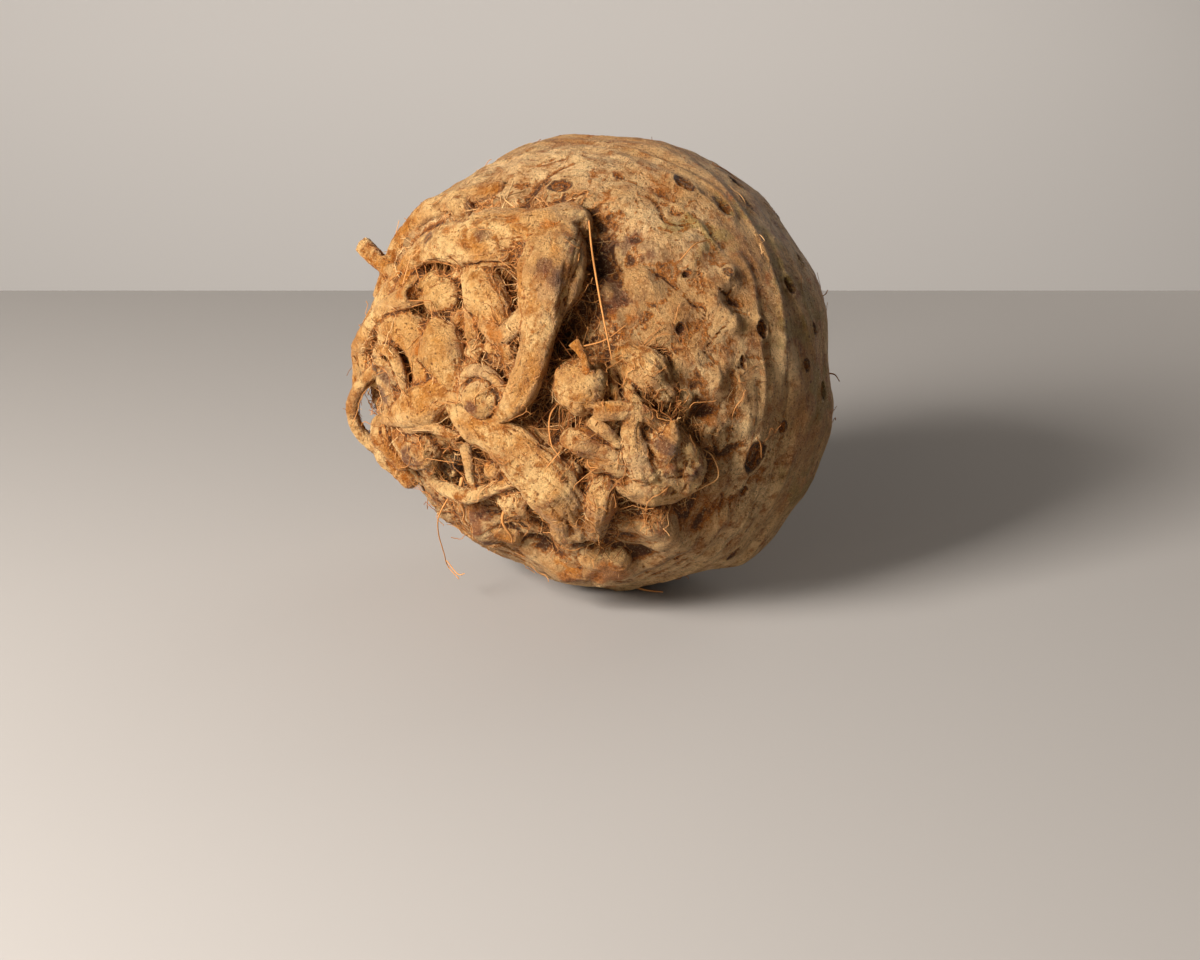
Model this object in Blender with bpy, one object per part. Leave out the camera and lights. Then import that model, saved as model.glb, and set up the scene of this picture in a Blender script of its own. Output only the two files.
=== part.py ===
"""Celeriac root: one grown bulb, its root end a fused tangle of thick roots, its leaf end trimmed.

The bulb lies on its side on a small flat spot. Its plant axis runs from the leaf end, at the back
right, to the root end, at the front left. Metres, +Z up, origin on the floor under the middle of
the object.

Places on the bulb are given on a flat map of the skin in millimetres of arc. The map's centre is
the root pole, north runs up and over the top of the bulb, and east runs round to the right when
the root end is looked at. Lift is the height above the plain bulb.
"""
import math

import bmesh
import bpy
from mathutils import Vector

MM = 0.001

# Driving dimensions of the bulb.
GIRTH_RADIUS = 55.5 * MM
ROOT_END_RADIUS = 50.0 * MM
CROWN_END_RADIUS = 47.0 * MM
MAP_RADIUS = 55.0 * MM
BULB_CENTRE = Vector((3.8 * MM, 5.8 * MM, 54.3 * MM))
AXIS_TURN = math.radians(32.0)
AXIS_PITCH = math.radians(6.0)

# How finely the fused body is made.
BULB_SUBDIVISIONS = 6
VOXEL_SIZE = 1.1 * MM
SMOOTHING_PASSES = 3
KEPT_FACES = 0.05
FLOOR_BLOCK = 0.3

SKIN_COLOUR = (0.56, 0.38, 0.19, 1.0)
SKIN_ROUGHNESS = 0.75

# Swellings and hollows of the bulb itself: east, north, height, spread.
SWELLINGS = (
    (78, -58, 4.5, 19),
    (101, -20, 2.5, 22),
    (95, 45, 1.0, 24),
    (-52, 8, 3.5, 20),
    (-50, 38, 3.5, 13),
    (-12, -66, -1.5, 14),
    (37, 29, 1.5, 7),
    (54, 25, 1.8, 6),
    (24, 38, -1.5, 8),
    (20, 15, -6.0, 5),
    (17, -2, -4.0, 4),
    (-21, 27, -3.5, 4),
    (-11, -20, -3.0, 5),
    (-2, -36, 4.5, 7),
    (24, -48, 3.5, 8),
    (10, -46, 3.0, 7),
    (40, -31, 4.0, 8),
    (-24, -33, 3.0, 6),
    (-43, -12, 3.5, 6),
    (-36, 4, 4.0, 6),
    (-10, -10, 3.5, 8),
    (-21, 41, 3.0, 5),
    (-43, 34, 3.0, 5),
)

# Roots, from base to tip: east, north, lift, radius at each point.
ROOTS = {
    "arch": ((15, 37, 2, 6), (7, 36, 5.5, 6.5), (0, 35, 7, 6.5), (-7, 33, 7.5, 5), (-15, 31, 7.5, 3.5),
             (-21, 29, 7.5, 2.6), (-27, 24, 7.5, 2.3), (-32, 20, 7.5, 2.1), (-38, 14, 6.5, 1.9)),
    "under_arch": ((-24, 27, 4, 2), (-25, 21, 6.5, 2.5), (-29, 17, 6, 1.8)),
    "descending": ((13, 37, 4, 6), (13, 30, 7, 7), (14, 24, 8, 6.2), (15, 18, 8.5, 4.6),
                   (15, 12, 8.5, 3.7), (14, 6, 8.5, 3.4), (12, 1, 8.5, 3.3), (8, -4, 8, 1.8)),
    "diagonal": ((22, -30, 3, 6), (19, -20, 5.5, 7), (14, -14, 6.5, 6), (8, -10, 6.5, 5.4),
                 (1, -8, 6.5, 4.3), (-4, -4, 6.5, 3.5), (-6, 0, 6.5, 1.8)),
    "outer_fold": ((30, -17, 5, 2.3), (29, -23, 6, 3), (26, -31, 4, 2.6)),
    "inner_fold": ((23, -17, 6.5, 2.3), (23, -24, 6.5, 2.8), (21, -31, 4.5, 2.2)),
    "grey_stub": ((26, 7, 8, 1.2), (26, 9, 9.5, 1.2), (25, 12, 10.5, 1.5)),
    "flat_stub": ((28.5, 0, 9.5, 2), (33, 0, 8.5, 2.2), (38, 0, 7, 2.5)),
    "small_finger": ((28, -3, 9, 1.3), (30, -4, 9.5, 1.4), (33, -7, 8.5, 1.2)),
    "oval_stub": ((24.5, -7, 8, 2.7), (28, -8, 7.5, 3), (33, -10, 6, 3)),
    "cluster_side": ((38, -1, 8, 2.3), (37, -6, 7.5, 2.5), (38, -12, 7, 3.3)),
    "cluster_flap": ((44, -3, 8, 1.2), (43, -7, 9, 2.1), (43, -10, 8, 2.2)),
    "pale_column": ((-5, 18, 3.5, 2.8), (-3, 13, 3, 3)),
    "egg": ((-13, 11, 5, 4.1), (-9, 8, 6.5, 4.9), (-7, 4, 5.5, 3.8)),
    "opened_lump": ((-24, 8, 5, 4.7), (-23, 3, 6.5, 5.6), (-29, -3, 5.5, 4.5)),
    "horn": ((-10, 0, 6, 4.4), (-13, -3, 7, 3.8), (-20, -8, 7.5, 2.3), (-29, -12, 7, 1)),
    "stump_arc": ((-21, -14, 7.5, 1.3), (-16, -10, 8.5, 1.3), (-10, -8, 8.5, 1.3), (-5, -10, 7, 1.3)),
    "left_lump": ((-35, -15, 5.5, 2.8), (-33, -18, 6.5, 3.3), (-32, -24, 4, 2.8)),
    "cut_root": ((-20, 17, 8, 2.3), (-27, 12, 8, 2.2), (-37, 7, 7, 2.2), (-45, 2, 6.5, 2.1), (-50, -5, 5.5, 2)),
    "loop_root": ((-34, 1, 3, 2), (-37, -2, 7, 1.7), (-42, -8, 9, 1.6), (-44, -13, 10, 1.6),
                  (-45, -19, 9, 1.6), (-43, -25, 5.5, 1.8), (-41, -28, 2, 2)),
    "low_arc": ((-19, -27, 3, 1.5), (-11, -26, 5.5, 1.8), (-4, -25, 6.5, 1.8), (3, -22, 6.5, 1.8),
                (11, -19, 5, 1.8)),
    "hook": ((-3, -15, 6, 1.6), (-2, -19, 6, 1.6), (-2, -23, 6, 1.2)),
    "ringed_stub": ((3, 0, 4, 4.2), (3, 0, 8.5, 4)),
    "stub_collar": ((-1, 2, 7, 1.3), (2, 4, 8, 1.3), (7, 3, 7, 1.3)),
    "forked": ((1, 15, 6, 1.7), (7, 13, 7.5, 1.9), (11, 18, 7, 2.3)),
    "fork_foot": ((6, 13, 7, 2), (8, 10, 6, 2)),
    "thin_root": ((-2, 7, 6, 1.3), (-3, 2, 7, 1.4), (-3, -2, 6, 1.3)),
    "side_stub": ((-43, 23, 3, 2.4), (-48, 24, 6.5, 2.3), (-50, 26, 11.5, 2.3)),
    "low_finger": ((9, -24, 4, 1.8), (8, -28, 5, 2)),
}

# Knobs where a root was grown over or broke off: east, north, lift, radius.
KNOBS = (
    (25, 4, 5.5, 6.7),
    (40, -17, 4, 7.5),
    (47, -14, 6.5, 3.4),
    (37, -3, 8, 2.6),
    (35, -11, 4, 5),
    (41, 7, 2, 5.5),
    (-16, 21, 3.5, 4.7),
    (-2, 24, 4.5, 4.2),
    (0, 20, 3, 4.7),
    (-17, -16, 5.5, 4.8),
    (-12, -21, 2, 3.3),
    (4, -18, 5, 2.3),
    (0, 9, 5, 2.7),
    (4, 9, 5.5, 2.4),
    (7, 5, 3, 4.6),
    (8, -26, 2.5, 4.5),
)

# Cut leaf stalks round the leaf bud: turn round the crown in degrees, distance, height, radius.
STALKS = (
    (20, 6, 6.0, 4.0),
    (95, 6, 5.0, 4.4),
    (165, 6, 6.0, 3.8),
    (235, 6, 5.0, 4.2),
    (305, 6, 5.5, 4.0),
    (55, 12, 3.5, 4.0),
    (130, 12, 3.0, 4.2),
    (200, 13, 3.5, 3.8),
    (270, 12, 3.0, 4.2),
    (345, 13, 3.5, 3.8),
)
CROWN_DOME_RADIUS = 18.0
CROWN_DOME_DEPTH = 14.5


def clear_scene():
    for item in list(bpy.data.objects):
        bpy.data.objects.remove(item, do_unlink=True)


def plant_axes():
    """Unit vectors out of the root end, up the map and east on the map."""
    outward = Vector((
        -math.sin(AXIS_TURN) * math.cos(AXIS_PITCH),
        -math.cos(AXIS_TURN) * math.cos(AXIS_PITCH),
        math.sin(AXIS_PITCH),
    ))
    north = Vector((0.0, 0.0, 1.0))
    north = (north - outward * north.dot(outward)).normalized()
    return outward, north, north.cross(outward)


OUTWARD, NORTH, EAST = plant_axes()


def bulb_radius(direction):
    """Distance from the bulb's centre to its plain skin."""
    along = direction.dot(OUTWARD)
    end_radius = ROOT_END_RADIUS if along > 0 else CROWN_END_RADIUS
    return 1.0 / math.sqrt((1.0 - along * along) / GIRTH_RADIUS ** 2 + (along / end_radius) ** 2)


def on_skin(east, north, lift):
    """The point over a place on the flat map of the skin."""
    reach = math.hypot(east, north) * MM / MAP_RADIUS
    bearing = math.atan2(east, north)
    sideways = EAST * math.sin(bearing) + NORTH * math.cos(bearing)
    direction = OUTWARD * math.cos(reach) + sideways * math.sin(reach)
    return BULB_CENTRE + direction * (bulb_radius(direction) + lift * MM)


def swelling_height(direction):
    """How far the swellings raise the skin in one direction."""
    reach = math.acos(max(-1.0, min(1.0, direction.dot(OUTWARD)))) * MAP_RADIUS / MM
    bearing = math.atan2(direction.dot(EAST), direction.dot(NORTH))
    east = math.sin(bearing) * reach
    north = math.cos(bearing) * reach
    height = 0.0
    for spot_east, spot_north, rise, spread in SWELLINGS:
        away = math.hypot(east - spot_east, north - spot_north) / spread
        height += rise * math.exp(-away * away)
    return height * MM


def add_bulb(body):
    made = bmesh.ops.create_icosphere(body, subdivisions=BULB_SUBDIVISIONS, radius=1.0)
    for vert in made["verts"]:
        direction = vert.co.normalized()
        vert.co = BULB_CENTRE + direction * (bulb_radius(direction) + swelling_height(direction))


def add_ball(body, centre, radius):
    made = bmesh.ops.create_icosphere(body, subdivisions=3, radius=radius)
    bmesh.ops.translate(body, verts=made["verts"], vec=centre)


def add_tapered_rods(body, paths):
    """Round rods along smooth curves, each path a list of (point, radius)."""
    curve = bpy.data.curves.new("root_paths", "CURVE")
    curve.dimensions = "3D"
    curve.bevel_depth = 1.0
    curve.bevel_resolution = 3
    curve.resolution_u = 6
    curve.use_fill_caps = True
    for path in paths:
        spline = curve.splines.new("BEZIER")
        spline.bezier_points.add(len(path) - 1)
        for knot, (point, radius) in zip(spline.bezier_points, path):
            knot.co = point
            knot.radius = radius
            knot.handle_left_type = "AUTO"
            knot.handle_right_type = "AUTO"
    holder = bpy.data.objects.new("root_paths", curve)
    bpy.context.collection.objects.link(holder)
    bpy.context.view_layer.update()
    rods = bpy.data.meshes.new_from_object(holder.evaluated_get(bpy.context.evaluated_depsgraph_get()))
    body.from_mesh(rods)
    bpy.data.objects.remove(holder, do_unlink=True)
    bpy.data.meshes.remove(rods)


def root_paths():
    return [
        [(on_skin(east, north, lift), radius * MM) for east, north, lift, radius in points]
        for points in ROOTS.values()
    ]


def stalk_paths():
    """Short straight stubs standing round the middle of the crown."""
    paths = []
    for turn, distance, height, radius in STALKS:
        angle = math.radians(turn)
        sideways = (EAST * math.sin(angle) + NORTH * math.cos(angle)) * distance * MM
        foot = BULB_CENTRE + sideways - OUTWARD * CROWN_END_RADIUS * 0.85
        top = BULB_CENTRE + sideways * 1.15 - OUTWARD * (CROWN_END_RADIUS + height * MM)
        paths.append([(foot, radius * MM), (top, radius * MM)])
    return paths


def add_floor_block():
    """A cutter whose top is the floor; it leaves the flat spot that the bulb rests on."""
    mesh = bpy.data.meshes.new("floor_block")
    block = bmesh.new()
    bmesh.ops.create_cube(block, size=FLOOR_BLOCK)
    bmesh.ops.translate(block, verts=block.verts, vec=(0.0, 0.0, -FLOOR_BLOCK / 2))
    block.to_mesh(mesh)
    block.free()
    cutter = bpy.data.objects.new("floor_block", mesh)
    bpy.context.collection.objects.link(cutter)
    cutter.hide_render = True
    cutter.display_type = "WIRE"
    return cutter


def skin_material():
    material = bpy.data.materials.new("skin")
    material.use_nodes = True
    shader = material.node_tree.nodes["Principled BSDF"]
    shader.inputs["Base Color"].default_value = SKIN_COLOUR
    shader.inputs["Roughness"].default_value = SKIN_ROUGHNESS
    shader.inputs["Metallic"].default_value = 0.0
    return material


def fuse(root):
    """Grow the parts together, even the surface out and cut the flat spot."""
    remesh = root.modifiers.new("fuse", "REMESH")
    remesh.mode = "VOXEL"
    remesh.voxel_size = VOXEL_SIZE
    smooth = root.modifiers.new("even_out", "SMOOTH")
    smooth.factor = 0.5
    smooth.iterations = SMOOTHING_PASSES
    fewer = root.modifiers.new("fewer_faces", "DECIMATE")
    fewer.ratio = KEPT_FACES
    fewer.use_collapse_triangulate = True
    cut = root.modifiers.new("flat_spot", "BOOLEAN")
    cut.operation = "DIFFERENCE"
    cut.solver = "EXACT"
    cut.object = add_floor_block()


def make_celeriac():
    body = bmesh.new()
    add_bulb(body)
    for east, north, lift, radius in KNOBS:
        add_ball(body, on_skin(east, north, lift), radius * MM)
    dome_centre = BULB_CENTRE - OUTWARD * (CROWN_END_RADIUS - CROWN_DOME_DEPTH * MM)
    add_ball(body, dome_centre, CROWN_DOME_RADIUS * MM)
    add_tapered_rods(body, root_paths() + stalk_paths())
    mesh = bpy.data.meshes.new("celeriac_root")
    body.to_mesh(mesh)
    body.free()
    mesh.shade_smooth()
    mesh.materials.append(skin_material())
    root = bpy.data.objects.new("celeriac_root", mesh)
    bpy.context.collection.objects.link(root)
    fuse(root)


clear_scene()
make_celeriac()
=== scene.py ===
"""Celeriac root, finished: ringed skin with root scars, a tangle of thick roots, hair roots and soil."""
import math
import random

import bmesh
import bpy
import numpy as np
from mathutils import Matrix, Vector


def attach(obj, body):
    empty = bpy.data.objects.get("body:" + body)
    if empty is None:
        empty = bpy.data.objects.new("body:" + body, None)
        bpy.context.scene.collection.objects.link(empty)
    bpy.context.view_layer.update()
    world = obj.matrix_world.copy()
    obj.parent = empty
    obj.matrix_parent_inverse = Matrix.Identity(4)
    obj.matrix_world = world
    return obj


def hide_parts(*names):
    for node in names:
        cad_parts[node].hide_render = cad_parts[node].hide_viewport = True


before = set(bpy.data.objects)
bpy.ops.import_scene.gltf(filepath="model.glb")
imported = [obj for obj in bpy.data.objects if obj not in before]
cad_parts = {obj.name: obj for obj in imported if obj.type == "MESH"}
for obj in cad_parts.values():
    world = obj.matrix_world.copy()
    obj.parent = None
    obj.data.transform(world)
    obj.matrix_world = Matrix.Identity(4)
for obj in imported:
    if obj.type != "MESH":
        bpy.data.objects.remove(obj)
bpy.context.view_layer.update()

MM = 0.001

# ------------------------------------------------------------
# The bulb's lie. A celeriac is a swollen stem that lies on its side: its plant axis runs from the
# leaf end, at the back right, to the root end, at the front left. It is a little shorter along
# that axis than it is wide, and flatter at the crown than at the root end.
# ------------------------------------------------------------
BULB_CENTRE = np.array([3.8, 5.8, 54.3])
GIRTH_RADIUS = 55.5
ROOT_END_RADIUS = 50.0
CROWN_END_RADIUS = 47.0
MAP_RADIUS = 55.0
AXIS_TURN = math.radians(32.0)
AXIS_PITCH = math.radians(6.0)

OUTWARD = np.array([
    -math.sin(AXIS_TURN) * math.cos(AXIS_PITCH),
    -math.cos(AXIS_TURN) * math.cos(AXIS_PITCH),
    math.sin(AXIS_PITCH),
])
NORTH = np.array([0.0, 0.0, 1.0]) - OUTWARD * OUTWARD[2]
NORTH /= np.linalg.norm(NORTH)
EAST = np.cross(NORTH, OUTWARD)


def plain_radius(directions):
    """Distance from the bulb's centre to its plain skin, in millimetres."""
    along = directions @ OUTWARD
    end_radius = np.where(along > 0, ROOT_END_RADIUS, CROWN_END_RADIUS)
    return 1.0 / np.sqrt((1.0 - along ** 2) / GIRTH_RADIUS ** 2 + (along / end_radius) ** 2)


# Everything on the bulb has a place on a flat map of its skin, in millimetres of arc: the root
# pole is the middle, north runs over the top, east runs round to the right, and lift is the
# height above the plain bulb.
def directions_at(east, north):
    """Unit directions from the bulb's centre to places on the flat map."""
    east, north = np.asarray(east, float), np.asarray(north, float)
    reach = np.hypot(east, north) / MAP_RADIUS
    bearing = np.arctan2(east, north)
    sideways = np.sin(bearing)[..., None] * EAST + np.cos(bearing)[..., None] * NORTH
    return np.cos(reach)[..., None] * OUTWARD + np.sin(reach)[..., None] * sideways


def map_of(directions):
    """East and north on the flat map, in millimetres of arc."""
    reach = np.arccos(np.clip(directions @ OUTWARD, -1, 1)) * MAP_RADIUS
    bearing = np.arctan2(directions @ EAST, directions @ NORTH)
    return reach * np.sin(bearing), reach * np.cos(bearing)


def on_skin(east, north, lift):
    """Points over places on the flat map, in millimetres, in the frame's axes."""
    directions = directions_at(east, north)
    return BULB_CENTRE + directions * (plain_radius(directions) + lift)[..., None]


def cell_numbers(cell, seed):
    """Three whole numbers from 0 to 1023 for each cell of a lattice, always the same for a seed."""
    x, y, z = cell.T
    code = (x * 374761393 + y * 668265263 + z * 1442695041 + seed * 974634777) & 0xFFFFFFFF
    code = ((code ^ (code >> 13)) * 1274126177) & 0xFFFFFFFF
    code ^= code >> 16
    return np.stack([code & 1023, (code >> 10) & 1023, (code >> 20) & 1023], 1)


def lattice_noise(points, size, seed):
    """Smooth noise, about -1 to 1, whose features are as long as size (one size or one per axis)."""
    where = points / size
    cell = np.floor(where).astype(np.int64)
    part = where - cell
    ease = part * part * part * (part * (part * 6 - 15) + 10)
    total = np.zeros(len(points))
    for corner in np.ndindex(2, 2, 2):
        slope = cell_numbers(cell + corner, seed) / 511.5 - 1.0
        share = np.prod(np.where(corner, ease, 1 - ease), axis=1)
        total += share * np.einsum("ij,ij->i", slope, part - corner)
    return total * 1.5


def layered_noise(points, size, layers, seed):
    """Several layers of smooth noise, each half as long and weaker than the one before."""
    size = np.asarray(size, float)
    total = sum(
        lattice_noise(points, size / 2 ** layer, seed + layer * 17) / 1.8 ** layer
        for layer in range(layers)
    )
    return total / 1.3


def pebbles(points, size, seed):
    """Rounded lumps packed side by side: 1 at a lump's middle, 0 or less between lumps."""
    where = points / size
    cell = np.floor(where).astype(np.int64)
    nearest = np.full(len(points), 9.0)
    for step in np.ndindex(3, 3, 3):
        spot = cell + (np.array(step) - 1)
        jitter = cell_numbers(spot, seed) / 1023.0
        away = np.linalg.norm(spot + jitter - where, axis=1)
        nearest = np.minimum(nearest, away)
    return 1.0 - 1.6 * nearest


def step_between(low, high, values):
    """0 up to low, 1 from high on, and a smooth climb between."""
    share = np.clip((values - low) / (high - low), 0, 1)
    return share * share * (3 - 2 * share)


# ------------------------------------------------------------
# The thick roots. They swell, cross and grow over each other on the root end, and most are broken
# or cut off short. Each is a rod along a smooth path, given from its base to its tip as east,
# north, lift and radius. The tip is round or cut across. Where they touch they have fused.
# ------------------------------------------------------------
ROD_SPACING = 0.8
THINNEST = 0.12
FUSING_VOXEL = 0.42
CUT_END = ((0.05, 0.97), (0.10, 0.86), (0.02, 0.72), (-0.14, 0.5), (-0.12, 0.25))
CUT_END_MIDDLE = -0.06

UPPER_ROOTS = {
    # Over the top of the tangle.
    "arch": dict(path=((13, 43, 2, 5), (9, 38.5, 4.5, 6), (4, 36, 5.5, 6.6), (-1, 34.5, 6.5, 7.0),
                       (-6, 33, 7.2, 6.6), (-13, 31.5, 7.4, 5.0), (-20, 29, 7.5, 3.6), (-26, 25, 7.2, 3.0),
                       (-32, 19.5, 6.5, 2.5), (-38, 14, 6.2, 2.1), (-43, 9, 4, 1.7)), flat=0.8, rough=0.8),
    "rim_root": dict(path=((-16, 51, 1, 2.3), (-28, 45, 2.5, 2.8), (-38, 40, 3.5, 3.1),
                           (-44, 33, 4, 2.9), (-46, 25, 4, 2.5), (-47, 17, 4, 2.2)), flat=0.8),
    "under_arch": dict(path=((-24, 27, 4, 2), (-25, 21, 6.5, 2.5), (-29, 17, 6, 1.8))),
    "descending": dict(path=((12, 38, 3.5, 5.5), (13, 30, 7, 7), (14, 24, 8, 6.2), (15, 18, 8.5, 4.6),
                             (15, 12, 8.5, 3.7), (14, 6, 8.5, 3.5), (12, 1, 8.5, 3.3),
                             (9, -3, 8.2, 2.2), (6.5, -5.5, 8, 1.0)), flat=0.85, rough=0.75),
    "descending_rib": dict(path=((17, 37, 3, 2), (19, 31, 5.5, 2.2), (19.5, 25, 6.5, 2.2),
                                 (17.5, 19, 7, 1.8))),
    # The knobs and rootlets in the well below the arch.
    "pale_column": dict(path=((-5, 18.5, 3.5, 2.4), (-3.5, 13, 3.5, 2.2))),
    "upper_left_knob": dict(path=((-18.5, 21.5, 3, 4.6), (-14, 19.5, 3.8, 5.0)), rough=0.4),
    "upper_right_knob": dict(path=((-4, 25, 4.2, 4.6), (-1.5, 22, 4.4, 5.2), (2, 17.5, 2.8, 4.6)),
                             rough=0.6),
    "grey_facet": dict(path=((4.5, 8, 3.5, 3.4), (7.5, 4, 3, 4.4)), flat=0.8),
    "forked": dict(path=((1, 15, 6, 1.7), (4, 13.4, 7, 1.8), (7, 13, 7.5, 2.0), (11, 18, 7, 2.3))),
    "fork_foot": dict(path=((6, 13, 7, 2), (8, 10, 6, 2.2))),
    "thin_root": dict(path=((-1, 7, 5.5, 1.3), (-3, 4.5, 7, 1.4), (-3.5, 1.5, 7, 1.4), (-2.5, -2, 6, 1.2))),
    "onion": dict(path=((4, 2.5, 5, 4.2), (3, -1, 7.4, 4.5)), rough=0.5),
    "onion_scar": dict(path=((2.6, -1.6, 9, 2.2), (2.2, -2.4, 11.4, 1.9)), tip="cut"),
    "onion_collar": dict(path=((-1.8, 0.5, 7, 1.2), (-0.5, 4, 8.8, 1.4), (3, 5.4, 9.3, 1.4),
                               (7, 4, 8.8, 1.3), (8.6, 0.5, 7, 1.2)), flat=1.2),
    # The opened lump on the left: layers curled like a rosebud round a grey core.
    "egg": dict(path=((-12, 11, 5.5, 4.4), (-8.5, 7.5, 6.8, 5.4), (-6, 2.5, 6.0, 3.8)), rough=0.45),
    "rose_core": dict(path=((-26, 2, 5, 4.4), (-22.5, -1.5, 7.2, 5.0), (-24, -6, 5.6, 4.2)), flat=0.95),
    "rose_outer": dict(path=((-32, 4, 4.5, 3.0), (-28, 8.5, 6.3, 4.2), (-22, 10.5, 7.0, 4.8),
                             (-16.5, 8.5, 7, 4.3), (-14, 3, 6.6, 3.7), (-15.5, -2, 5.6, 2.8)),
                       flat=0.85, rough=0.5),
    "rose_inner": dict(path=((-29, 2, 9, 1.0), (-25.5, 5, 10.8, 1.3), (-20.5, 5.5, 11.4, 1.3),
                             (-17.5, 2, 10.8, 1.2), (-17, -3, 9, 1.0)), flat=1.2, rough=0.8),
    "rose_petal": dict(path=((-27, 1, 10.5, 0.8), (-24, 3, 12, 1.0), (-20.5, 2.5, 12, 0.9),
                             (-19, -0.5, 10.8, 0.8)), flat=1.2, rough=0.8),
    "pale_left": dict(path=((-39, 5, 4.5, 1.9), (-42, 0, 6.5, 2.1), (-40, -5, 5, 1.7)), rough=0.5),
    "horn": dict(path=((-8, -1, 5.4, 4.6), (-12, -4, 7.0, 5.4), (-16, -6, 7.8, 4.6), (-21, -8.5, 8.2, 3.2),
                       (-26, -10.5, 7.8, 1.9), (-31, -12.5, 7, 0.8)), flat=0.85, rough=0.7),
    "cut_root": dict(path=((-50, -7, 5.5, 2.1), (-46, 1, 7, 2.4), (-38, 6, 8, 2.6),
                           (-31, 11.5, 9, 2.3), (-24, 15.5, 9.8, 2.3), (-17.5, 18, 10.4, 2.6)),
                     tip="cut", rough=0.6),
    "rim_lower": dict(path=((-42, 14, 4.5, 1.8), (-49, 5, 5.5, 1.9), (-51, -2, 6.2, 1.9),
                            (-49, -9, 7, 1.7))),
    "loop_root": dict(path=((-34, 1, 3, 2), (-38, -3, 7, 1.6), (-42, -8, 9, 1.6), (-44.5, -13, 10, 1.6),
                            (-45, -19, 9, 1.6), (-43, -25, 5.5, 1.7), (-41, -28, 2, 2)), rough=0.8),
    "loop_twin": dict(path=((-36, 2, 3, 1.6), (-41, -4, 7, 1.2), (-44.5, -10, 9.2, 1.1),
                            (-46.5, -16, 9.2, 1.1), (-46.5, -22, 7.5, 1.2), (-44, -27, 3, 1.5))),
    "side_stub": dict(path=((-43, 23, 3, 2.2), (-47, 24, 6.5, 2.0), (-50, 26, 11.5, 2.2)), tip="cut"),
}

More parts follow.
